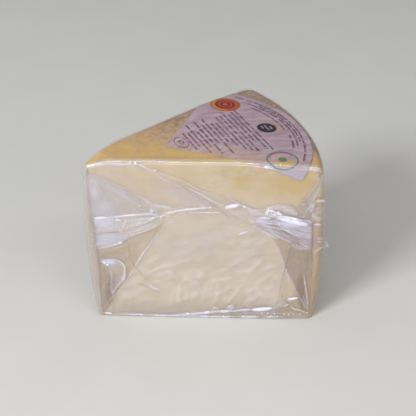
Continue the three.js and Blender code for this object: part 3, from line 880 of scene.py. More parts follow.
# The print is generic: rows of small plain strokes, rings and discs, placed from the label's
# point by u along its middle line and v across it.
labelPrint = {
    "lift": 0.03,
    "thickness": 0.03,
    "layerGap": 0.01,
    "rowStart": 11.1,
    "rowStep": 2.085,
    "rowSpans": [(-7, 8), (-5, 7), (-13, 13), (-5, 9), (-14, 16), (-10, 8), (-15, 18), (-10, 10),
                 (-9, 13), (-14, 17), (-14, 19), (-17, 20), (-14, 13), (-16, 20), (-17, 20)],
    "rowHeight": 1.08,
    "pens": (0.2, 0.34),  # these and the next five are shares of a row's height
    "strokeWidths": (0.42, 0.62),
    "lowStroke": 0.62,
    "tallStroke": 0.95,
    "strokeGap": 0.24,
    "wordGaps": (0.5, 1.1),
    "barShare": 0.8,  # share of the pen that a level bar has
    "arcs": [(49.9, -13, 66, 1.15), (48.5, 6, 50, 1.05), (47.1, -1, 56, 1.15), (44.8, 19, 52, 0.95),
             (45.2, 0, 14, 1.4)],  # radius, first and last angle, height
    "ink": (74, 24, 76),
    "inkRoughness": 0.5,
    "grainScale": 2500.0,
    "grain": 0.06,
    "oval": (7.5, 0.4, 2.7, 4.8),  # u, v and its two half sizes
    "ovalRows": [(-0.9, -1.6, 1.6), (0.1, -2.3, 2.3), (1.1, -1.4, 1.4)],  # offset, start, end
    "ovalRowHeight": 0.8,
    "darkRows": [(-1.7, -2.0, 0.9), (0.1, -2.6, 2.7), (1.9, -0.9, 2.1)],
    "darkRowHeight": 1.2,
    "darkRowTint": (196, 168, 196),
    "accent": (50.6, -3.0, 8.4),  # u, first and last v
    "accentBow": 0.7,
    "accentHalf": 0.35,
    "accentTint": (206, 156, 110),
    "random": 5,
}

# Where each seal is, and its rings: inner and outer radius, then first and last angle of a part.
seals = {"orange": (39.1, -24.0), "green": (40.05, 28.9), "dark": (46.4, 2.2)}
sealMarks = [
    ("sealOrange", "orange", [(0.0, 6.7)], (188, 90, 16), 0),
    ("sealYellow", "orange", [(4.9, 6.0, 110, 250)], (206, 150, 22), 1),
    ("sealRed", "orange", [(0.0, 4.4)], (142, 5, 22), 1),
    ("sealRings", "orange", [(2.6, 3.1), (0.0, 1.1)], (214, 92, 40), 2),
    ("sealGreen", "green", [(6.05, 6.6)], (70, 122, 96), 0),
    ("sealPale", "green", [(2.3, 5.0, 190, 335)], (216, 178, 88), 0),
    ("sealMiddle", "green", [(0.0, 1.7)], (96, 136, 50), 1),
    ("sealArc", "green", [(5.3, 5.7, 20, 150)], (196, 48, 70), 1),
    ("sealDark", "dark", [(0.0, 4.2)], (28, 8, 28), 0),
]


def onLabel(u, v):
    return labelPoint + u[..., None] * labelAlong + v[..., None] * labelAcross


def onArc(radius):
    # the same as onLabel, with t as a length round the arc, clockwise, and w outwards from it
    centre = np.array(label["arcCentre"])
    return lambda t, w: centre + (radius + w)[..., None] * turned(-t / radius)


def stampSheets(name, groups, colour, layer=0):
    # a group is an array of equal grids of places on the label; each grid gets an upper and a
    # lower skin and four closed sides
    flat, faces, first = [], [], 0
    thickness = labelPrint["thickness"]
    base = label["lift"] + labelPrint["lift"] + layer * (thickness + labelPrint["layerGap"])
    for grids in groups:
        count, rows, columns = grids.shape[:3]
        size = rows * columns
        wave = paperWave(grids)
        upper = laidOnRind(grids, base + thickness + wave).reshape(count, size, 3)
        lower = laidOnRind(grids, base + wave).reshape(count, size, 3)
        flat.append(np.concatenate([upper, lower], 1).reshape(-1, 3))
        quads = gridFaces(rows, columns)
        border = np.concatenate([
            np.arange(columns - 1),
            np.arange(rows - 1) * columns + columns - 1,
            size - 1 - np.arange(columns - 1),
            (rows - 1 - np.arange(rows - 1)) * columns,
        ])
        ahead = np.roll(border, -1)
        sides = np.stack([border, border + size, ahead + size, ahead], -1)
        one = np.concatenate([quads, quads[:, ::-1] + size, sides])
        starts = first + 2 * size * np.arange(count)
        faces.append((one[None] + starts[:, None, None]).reshape(-1, 4))
        first += 2 * size * count
    look = (labelPrint["inkRoughness"], labelPrint["grainScale"], labelPrint["grain"])
    ink = plainMaterial(name + "Ink", colour, *look)
    piece = addPiece(name, np.concatenate(flat), np.concatenate(faces), ink)
    piece.data.polygons.foreach_set("use_smooth", np.zeros(len(piece.data.polygons), bool))
    return piece


def strokeRow(place, start, end, height, random):
    # fills a run with words of small strokes: uprights of two heights and short level bars
    boxes, t = [], start
    lastStart = end - 0.6 * height
    lowStroke, tallStroke = labelPrint["lowStroke"], labelPrint["tallStroke"]
    low = height * lowStroke
    while t < lastStart:
        pen = height * random.uniform(*labelPrint["pens"])
        bar = pen * labelPrint["barShare"]
        for _ in range(random.integers(3, 10)):
            if t > lastStart:
                break
            wide = height * random.uniform(*labelPrint["strokeWidths"])
            tall = height * random.choice([lowStroke, lowStroke, tallStroke])
            kind = random.integers(0, 4)
            if kind != 1:
                boxes.append((t, t + pen, 0.0, tall))
            if kind in (0, 2):
                boxes.append((t + wide - pen, t + wide, 0.0, low))
            if kind in (1, 3):
                boxes.append((t, t + wide, 0.0, bar))
            if kind != 2:
                boxes.append((t, t + wide, low - bar, low))
            t += wide + height * labelPrint["strokeGap"]
        t += height * random.uniform(*labelPrint["wordGaps"])
    left, right, bottom, top = np.array(boxes).T
    t = np.stack([np.stack([left, right], -1)] * 2, 1)
    w = np.stack([np.stack([bottom] * 2, -1), np.stack([top] * 2, -1)], 1) - low / 2
    return place(t, w)


def levelRow(u, v, low, high, height, random):
    # a row of strokes across the label, from low to high beside the place u, v
    return strokeRow(lambda t, w: onLabel(u - w, v + t), low, high, height, random)


def ringSheet(u, v, inner, outer, first=0.0, last=360.0, stretch=(1.0, 1.0)):
    # radii by angles; a disc is a ring with a pinhole
    radii = np.linspace(outer, max(inner, 0.02), max(2, int((outer - inner) / 0.5) + 2))[:, None]
    angles = np.radians(np.linspace(first, last, 96))[None, :]
    x, y = radii * np.cos(angles) * stretch[0], radii * np.sin(angles) * stretch[1]
    return onLabel(u + x, v - y)[None]


def addPrint():
    random = np.random.default_rng(labelPrint["random"])
    rows = []
    for number, span in enumerate(labelPrint["rowSpans"]):
        u = labelPrint["rowStart"] + number * labelPrint["rowStep"]
        start, end = np.array(span) + random.uniform(-0.5, 0.5, 2)
        rows.append(levelRow(u, 0.0, start, end, labelPrint["rowHeight"], random))
    for radius, low, high, tall in labelPrint["arcs"]:
        start, end = math.radians(-high) * radius, math.radians(-low) * radius
        rows.append(strokeRow(onArc(radius), start, end, tall, random))
    u, v, wide, tall = labelPrint["oval"]
    rows.append(ringSheet(u, v, 0.93, 1.0, stretch=(wide, tall)))
    for offset, low, high in labelPrint["ovalRows"]:
        rows.append(levelRow(u + offset, v, low, high, labelPrint["ovalRowHeight"], random))
    pieces = [stampSheets("labelText", rows, labelPrint["ink"])]

    for name, seal, rings, tint, layer in sealMarks:
        rings = [ringSheet(*seals[seal], *ring) for ring in rings]
        pieces.append(stampSheets(name, rings, tint, layer))

    u, v = seals["dark"]
    bars = []
    for offset, low, high in labelPrint["darkRows"]:
        bars.append(levelRow(u + offset, v, low, high, labelPrint["darkRowHeight"], random))
    pieces.append(stampSheets("sealDarkBars", bars, labelPrint["darkRowTint"], 1))

    # a stripe that bows by a parabola
    u, low, high = labelPrint["accent"]
    half = labelPrint["accentHalf"]
    v = np.linspace(low, high, 20)
    bow = u + labelPrint["accentBow"] * (1.0 - ((v - (low + high) / 2) / ((high - low) / 2)) ** 2)
    stripe = np.stack([onLabel(bow - half, v), onLabel(bow + half, v)], 0)
    pieces.append(stampSheets("labelAccent", [stripe[None]], labelPrint["accentTint"]))
    return pieces


# The film

film = {
    "skinSize": {"around": 320, "edgeRows": 5, "wallRows": 70, "topRings": 36, "baseRings": 8},
    "skinLift": 0.08,
    "skinRipple": 0.04,
    "skinEdgeRipple": 0.05,  # more of it near the upper and the lower edge
    "skinEdge": (16.0, 0.0),
    "skinSeed": 31,
    "skinMilk": 0.03,
    "skinRoughness": 0.2,
    "thickness": 0.05,
    "lowest": 0.03,
    "sheetStep": 0.42,
    "sheetSeed": 41,
    "seedStep": 10,
}

# The front face is drawn as it is seen: x from the drawing's mark, and z as if all lay on the
# flat face. What stands out, or lies further back, is moved up or down by the view's slope.
frontDrawing = {
    "raise": 0.45,
    "slope": 0.64,
    "heelStart": 94.0,
    "heelShare": 0.78,
    "raiseTop": (78.0, 73.0),
    "raiseFoot": (0.0, 3.0),
}

# Where the loose film stands away from the cheese: centre, half sizes, turn, height.
filmBulges = [
    ((80, 50), (8, 5.5), -18, 1.5),
    ((87, 50.6), (5, 3.4), 0, 0.9),
    ((78, 55), (3.5, 2.5), 0, 0.6),
    ((-2, 76), (3, 6), 0, 0.5),
    ((90, 60), (3, 7), 20, 0.4),
]

# Paths that sheets, glows and folds of the front film share.
foldLines = {
    "gussetTop": [(1.3, 76.8), (3.9, 74.1), (8.6, 70.5), (15, 66.7), (20.5, 63.3), (24.2, 60.3),
                  (26.5, 56.7), (30.9, 52.4)],
    "gussetInner": [(1.9, 75), (4.9, 69.2), (7.3, 63.8), (8.7, 58.7), (10, 54.7), (10.7, 51.9)],
    "bandLine": [(3.1, 52.6), (5.9, 51.9), (10.7, 51.9), (16.2, 52.7), (21, 53.2), (26.4, 53.7),
                 (30.9, 52.4)],
    "bandRim": [(3.6, 36.4), (6.2, 36.6), (9.3, 37.2), (13, 38.8), (17, 41.4), (22.8, 44.6),
                (28.9, 47.6), (32, 50.1)],
    "middle": [(30.9, 53), (35.3, 55), (39.8, 55.9), (44.3, 56.5), (47.8, 56.9), (51.4, 57.3),
               (53.5, 57.5)],
    "tipEdge": [(2.4, 2.5), (3.2, 12.9), (4.1, 26.5), (3.9, 36.5), (3.6, 48), (2.7, 53.6),
                (2.3, 59.1), (1.4, 68.1)],
    "slantLow": [(20.8, 78.7), (23.9, 77.8), (26.9, 75), (32.7, 70.3), (38.5, 67.2), (45.5, 63),
                 (52.6, 58.3), (57.3, 54.1), (62.1, 51.4), (65.4, 50.4)],
    "slantHigh": [(21.7, 78.6), (28.7, 75.2), (33.4, 72.7), (40.9, 69.7), (45.8, 66.4),
                  (51.4, 64.1), (58.5, 62.4)],
    "foot": [(2.6, 2.5), (8.1, 10.1), (12.2, 15.1), (15.6, 20.2), (18.9, 26.8), (21.5, 31.7),
             (24.1, 36.2), (26, 38.5), (30, 46)],
    "loopOuter": [(4.9, 30.5), (7, 30.3), (10.6, 30.4), (12.5, 29.5), (14.1, 27.5), (14.5, 24.4),
                  (14.1, 21.7), (13.1, 19), (11, 15.9), (8.5, 11.6)],
    "loopInner": [(7.7, 26.7), (8.5, 23.6), (8.5, 19.8), (7.8, 15.1), (8.2, 11.6)],
    "crossDown": [(79.2, 39.6), (80.2, 35.5), (81.8, 30.7), (82.7, 27.4), (84, 23.9), (86.1, 19.4),
                  (88.3, 14.7), (89.2, 12.3)],
    "crossUp": [(81, 13.7), (81.3, 17.2), (81.6, 21.5), (82.3, 25.8), (82.7, 28.9), (83.3, 33.1),
                (83.9, 37.6)],
    "footLine": [(31.3, 0.8), (39.2, 1.5), (43.9, 1.8), (50.2, 2.6), (55.2, 3.1), (61.2, 3.5),
                 (69.6, 4.4)],
    "funnelLeft": [(96.6, 77.2), (95.4, 76.3), (94, 72), (91.9, 68), (89.4, 63.9), (87.4, 61.3),
                   (86, 60)],
    "funnelRight": [(96.8, 76.2), (95.8, 73), (94.9, 68.1), (93.1, 65.3), (91.8, 62.3), (91.4, 60),
                    (90.7, 57.5)],
    "gatherDip": [(76.6, 49.6), (78.8, 48.4), (81.8, 46.7), (83.7, 45.5), (86, 45.3)],
    "gatherRing": [(72.8, 55.3), (74, 56.9), (75.7, 58.7), (78.2, 59.4), (81, 59.9), (83.4, 59.5),
                   (85.2, 58.4), (86.4, 56.5), (87, 54.5)],
}

# Sheets of the front face, each between a lower and an upper curve. Sheets drawn upright run
# from their right side to their left. A glow is a milky band on one side of a path: path, side
# (1 is left of its run), reach, strength. A patch is a soft oval: centre, half sizes, turn,
# strength. What a sheet doesn't give is as in sheetNorm.
sheetNorm = {"streak": (7, 3), "uneven": 0.4, "ripple": 0.05, "glows": [], "patches": []}
frontSheets = {
    "filmUpperFlap": {
        "lower": [(3, 52), (17, 53), (31, 53), (42, 56), (52, 57.5), (58, 57.8), (66, 54.5),
                  (72, 54), (80, 57.5), (86, 57), (90, 64), (95, 74)],
        "upper": [(3, 79.8), (20, 82), (40, 82), (55, 82), (70, 82), (82, 82), (97, 79.5)],
        "out": 0.6, "tint": (224, 214, 220), "haze": 0.03,
        "patches": [((57, 73.3), (2, 0.8), 0, 0.12), ((68, 74.4), (1.8, 0.8), 0, 0.12),
                    ((63, 61), (5, 1.2), -28, 0.12), ((53, 68.2), (1.6, 0.8), 0, 0.1),
                    ((61.5, 65.6), (2, 0.7), 10, 0.1), ((42, 64), (12, 4), -25, 0.05)],
    },
    "filmMiddleFlap": {
        "lower": [*foldLines["gussetTop"][1:5], (26.5, 56.7), (30.9, 52.4), (39.8, 55.9),
                  (47.8, 56.9), (53.5, 57.5), (57.3, 54.1), (62.1, 51.2)],
        "upper": [(1.3, 77.6), (9.5, 78.4), (20.8, 78.7), (26.9, 75), (32.7, 70.3), (42, 65.3),
                  (49, 60.7), (54.3, 56.9), (62.1, 51.6)],
        "out": 0.72, "tint": (224, 211, 211), "haze": 0.1,
        "patches": [((45, 60), (16, 5), -28, 0.14), ((31, 57.6), (4, 0.8), -8, 0.16),
                    ((22, 74), (8, 4), -35, -0.1)],
    },
    "filmSlantStrip": {
        "lower": [(20.8, 78.7), *foldLines["slantLow"][2:9], (66.4, 50.4), (70, 52.4), (74, 53),
                  (77, 54.4)],
        "upper": [*foldLines["slantHigh"][:6], (57, 62.6), (61.3, 60.5), (64.5, 58.4), (68.6, 56.6),
                  (71.4, 56.4), (73.7, 56.8), (77, 55)],
        "out": 0.86, "tint": (220, 206, 208), "haze": 0.12, "streak": (9, 2.5),
        "patches": [((61, 57), (5, 2.4), -30, 0.12), ((69, 55.2), (4, 1.6), -10, 0.3),
                    ((75, 54.8), (3, 1), 0, 0.2), ((63.5, 54.8), (1.6, 1), 0, 0.2)],
    },
    "filmLeftGusset": {
        "lower": [(2.2, 52.6), *foldLines["bandLine"][1:]],
        "upper": [(-0.5, 77), *foldLines["gussetTop"][1:7], (30.9, 52.6)],
        "out": 0.34, "tint": (216, 208, 213), "haze": 0.26, "streak": (2.6, 12), "uneven": 0.25,
        "ripple": 0.02,
        "glows": [("bandLine", 1, 2.4, 0.2)],
        "patches": [((4.2, 66), (1.7, 5.5), 10, 0.45), ((6.5, 56.5), (4.6, 4.2), 10, 0.4),
                    ((13, 64.8), (9, 1.7), -34, 0.3), ((24.4, 57.4), (3.4, 2), -50, -0.12),
                    ((3, 73.6), (2, 1.6), 0, -0.1)],
    },
    "filmLeftPatch": {
        "lower": [(3.8, 44.4), (10, 44.2), (14, 45.2), (20, 48), (27, 50.4), (31, 52)],
        "upper": [(3.1, 52.6), (10.7, 51.9), (21, 53.2), (26.4, 53.7), (31, 52.6)],
        "out": 0.44, "tint": (222, 220, 234), "haze": 0.1, "streak": (8, 1.4), "uneven": 0.25,
        "patches": [((6.8, 51.2), (4.6, 1.6), 0, 0.55), ((7.4, 48.4), (4.6, 2.4), 0, 0.4),
                    ((7, 45.4), (5, 1.2), 0, 0.12), ((20, 49.8), (7, 2), 16, 0.18)],
    },
    "filmLeftBand": {
        "lower": "bandRim",
        "upper": [(4, 44.4), (9.6, 44), (14.1, 44.6), (18.4, 47.4), (21.5, 49.2), (25.7, 50),
                  (31.6, 52)],
        "out": 0.5, "tint": (214, 211, 226), "haze": 0.1, "streak": (9, 0.8), "uneven": 0.35,
        "patches": [((8.5, 42.4), (6.5, 1.7), 4, 0.4), ((8, 39.4), (6.5, 1.9), 8, 0.42),
                    ((15, 41.6), (3, 2.2), 28, 0.18), ((23, 46.2), (6, 1.8), 28, 0.16)],
    },
    "filmTipStrip": {
        "lower": [(2.4, 1.4), (3.2, 12.9), (4.1, 26.5), (4, 36.5), *foldLines["tipEdge"][4:],
                  (1.2, 74), (1.6, 78.4)],
        "upper": [(-2.4, 1), (-2.4, 12), (-2.4, 26), (-2.4, 36), (-2.4, 48), (-2.4, 53), (-2.4, 60),
                  (-2.4, 68), (-2.4, 74), (-1.4, 77)],
        "out": 0.2, "tint": (204, 196, 191), "haze": 0.34, "streak": (1.4, 24), "uneven": 0.2,
        "ripple": 0.02,
        "patches": [((0.5, 58), (2.4, 18), 0, 0.24)],
    },
    # painted shade: this sheet's grey-brown tint darkens the lower left, where shade falls and the
    # lifted film mirrors dark
    "filmLeftFoot": {
        "lower": [(2.6, 1.8), *foldLines["foot"][1:], (32, 49.6)],
        "upper": [(2.4, 2.4), (3.2, 10), (4, 20), (4.2, 32), (4, 36.6), (9.3, 37.4), (15, 40.2),
                  (20, 43.4), (28, 47.4), (32, 50)],
        "out": 0.3, "tint": (184, 168, 156), "haze": 0.15, "streak": (2.2, 9), "uneven": 0.2,
        "ripple": 0.02,
        "patches": [((5, 12), (1.6, 14), -3, 0.2), ((8, 14), (4, 8), 0, 0.22),
                    ((9, 33), (8, 2.6), -8, 0.12)],
    },
    "filmLoop": {
        "lower": [(4.7, 30), (5.6, 28.2), (7.6, 26.2), (8.5, 23.6), (8.5, 19.8), (7.8, 15.1),
                  (8.2, 11.4)],
        "upper": [(4.9, 30.7), (10.6, 30.6), (12.7, 29.6), (14.3, 27.5), (14.7, 24.4), (14.3, 21.7),
                  (13.1, 18.8), (11, 15.7), (8.5, 11.2)],
        "out": 0.5, "tint": (226, 221, 236), "haze": 0.05, "streak": (3, 5),
        "glows": [("loopOuter", -1, 0.9, 0.2), ("loopInner", 1, 0.6, 0.16)],
        # the strong patch at the loop's top left is a painted highlight of its glint
        "patches": [((6.8, 29), (2.1, 1.2), -14, 0.7), ((9.6, 29), (1.6, 1.6), 0, 0.3),
                    ((13.8, 20.6), (0.8, 2.4), -14, 0.25), ((8.8, 13), (1.2, 1.6), 0, 0.2)],
    },
    "filmLowerFlap": {
        "lower": [(4, 0.3), (30, 0.3), (60, 0.3), (82, 0.3)],
        "upper": [(33, 52.4), (45, 56), (52, 56.8), (57, 54.4), (66, 50.6), (73, 46.5), (78.6, 41),
                  (81.4, 32), (82.6, 27.5)],
        "out": 0.5, "tint": (216, 206, 206), "haze": 0.12, "streak": (7, 4), "ripple": 0.1,
        "glows": [("middle", -1, 1.6, 0.1), ("footLine", 1, 1.2, 0.12)],
        "patches": [((50, 38), (26, 12), 0, 0.08), ((30, 44), (6, 5), 30, 0.08)],
    },
    "filmCrossUpper": {
        "lower": [(82.6, 27.6), (83.3, 33.1), (83.9, 37.6), (84.2, 41.4)],
        "upper": [(82.5, 27.4), (81.8, 30.7), (80.2, 35.5), (77.4, 43)],
        "out": 0.4, "tint": (190, 172, 156), "haze": 0.26, "streak": (2.2, 9),
    },
    "filmCrossLower": {
        "lower": [(91, 6.4), (88.3, 14.7), (86.1, 19.4), (84, 23.9), (82.7, 27.4)],
        "upper": [(79.6, 6.4), (81, 13.7), (81.6, 21.5), (82.3, 25.8), (82.6, 27.5)],
        "out": 0.4, "tint": (206, 190, 172), "haze": 0.12, "streak": (2.2, 9),
        "patches": [((85.6, 8.6), (2.4, 1.2), 0, 0.2)],
    },
    # painted shade: this sheet's grey-brown tint darkens the right gusset, where shade falls and the
    # lifted film mirrors dark
    "filmRightGusset": {
        "lower": [(94.8, 2.6), (94.2, 9.4), (93.8, 17.3), (93.1, 28.9), (92.4, 38), (92.3, 44)],
        "upper": [(91.5, 3.4), (89.2, 12.3), (86.1, 19.4), (84, 23.9), (82.7, 27.4), (83.3, 33.1),
                  (83.9, 37.6), (84.5, 43)],
        "out": 0.36, "tint": (184, 166, 155), "haze": 0.46, "streak": (3, 9), "ripple": 0.06,
        "patches": [((92.4, 20), (2, 12), 3, -0.12)],
    },
    "filmRightFoot": {
        "lower": [(60, 0.5), (70, 0.5), (82, 0.6), (94, 1.4)],
        "upper": [(60, 3.2), (69.6, 4.2), (78.4, 5.3), (83, 8.6), (86.4, 8.4), (88, 5.9),
                  (94.4, 3.4)],
        "out": 0.42, "tint": (196, 180, 166), "haze": 0.26, "streak": (5, 1.5),
    },
    "filmHeelStrip": {
        "lower": [(98, 3), (99, 12), (99.8, 26), (100, 38), (100, 51)],
        "upper": [(94.8, 2.8), (94.2, 9.4), (93.8, 17.3), (93.1, 28.9), (92.4, 38), (92.5, 51)],
        "out": 0.3, "tint": (206, 184, 166), "haze": 0.2, "streak": (1.4, 12),
        "patches": [((94.5, 25), (0.7, 1.4), 0, 0.3), ((95.4, 34), (1.6, 8), 0, 0.1)],
    },
    "filmFunnel": {
        "lower": [(91.6, 52.6), (91.6, 57.5), (92.6, 62.3), (93.5, 65.3), (95, 68.1), (95.8, 73),
                  (96.8, 76.6)],
        "upper": [(86.8, 54.2), (86.2, 58), (87.4, 61.3), (89.4, 63.9), (91.9, 68), (94, 72),
                  (96.2, 76.8)],
        "out": 0.9, "tint": (192, 177, 172), "haze": 0.34, "streak": (1.8, 9), "ripple": 0.02,
        "patches": [((88, 56.4), (1.7, 1.9), 0, 0.2), ((88.6, 60.7), (1.6, 1.1), 20, 0.3)],
    },
    "filmHeelSquare": {
        "lower": [(99.4, 51.4), (99.4, 56), (98.8, 61), (98.2, 62.6)],
        "upper": [(91.4, 51.8), (91.1, 55.5), (91.6, 59.5), (92.6, 62.2)],
        "out": 0.8, "tint": (214, 198, 194), "haze": 0.17, "streak": (2.5, 4), "ripple": 0.08,
        "patches": [((92.4, 55.3), (1.2, 1.8), 0, 0.45), ((95.4, 58), (2, 1.4), 10, 0.3),
                    ((94.6, 52.8), (2.2, 0.8), 0, 0.3)],
    },
    "filmHeelFoot": {
        "lower": [(98, 39), (98.2, 42), (98.6, 46.6), (99.4, 51.4)],
        "upper": [(92.8, 37.6), (92.6, 43), (92.5, 47), (92.6, 51.6)],
        "out": 0.8, "tint": (212, 194, 188), "haze": 0.17, "streak": (2.5, 4), "ripple": 0.08,
        "patches": [((95.3, 43.6), (1.5, 0.5), -12, 0.5), ((94.6, 48.6), (1.2, 1.4), 0, 0.2)],
    },
}

# What all folds share: the distance between the points along them, how milky they are at the
# most, the sizes of the noise that makes them uneven, and how far they sway.
foldShape = {
    "step": 0.55,
    "milk": 0.62,
    "roughness": 0.12,
    "seed": 81,
    "unevenSizes": (2.6, 0.9),
    "sway": 0.12,
    "swaySize": 3.0,
}

# How a fold looks: the crest's half width and height, the reach of the film on each side of it,
# and how milky the crest and the film beside it are. Blaze, bar, spot, glint and rim give
# near-white strips that are painted highlights; crease, shade and veil are used for painted shade.
foldStyles = {
    "blaze": (0.8, 0.25, 1.3, 1.7, 0.5),
    "bar": (0.6, 0.22, 0.9, 1.5, 0.35),
    "spot": (0.42, 0.16, 0.5, 1.5, 0.4),
    "glint": (0.3, 0.12, 0.3, 1.4, 0.4),
    "rim": (0.38, 0.1, 0.6, 1.05, 0.3),
    "faint": (0.34, 0.1, 1.1, 0.22, 0.06),
    "band": (0.42, 0.18, 0.9, 0.85, 0.16),
    "line": (0.26, 0.12, 0.6, 0.58, 0.08),
    "thin": (0.16, 0.06, 0.35, 0.34, 0.03),
    "soft": (0.8, 0.05, 1.7, 0.24, 0.08),
    "crease": (0.13, 0.02, 0.4, 0.4, 0.03),
    "shade": (0.7, 0.02, 1.6, 0.12, 0.05),
    "veil": (1.6, 0.02, 2.8, 0.26, 0.13),
}

# Where the points across a fold lie: shares of its half width, then of what is left to its rim.
foldRows = {
    "full": ((0.0, 0.2, 0.55, 1.2), (0.3, 0.6, 1.0)),
    "light": ((0.0, 0.5, 1.2), (1.0,)),
}

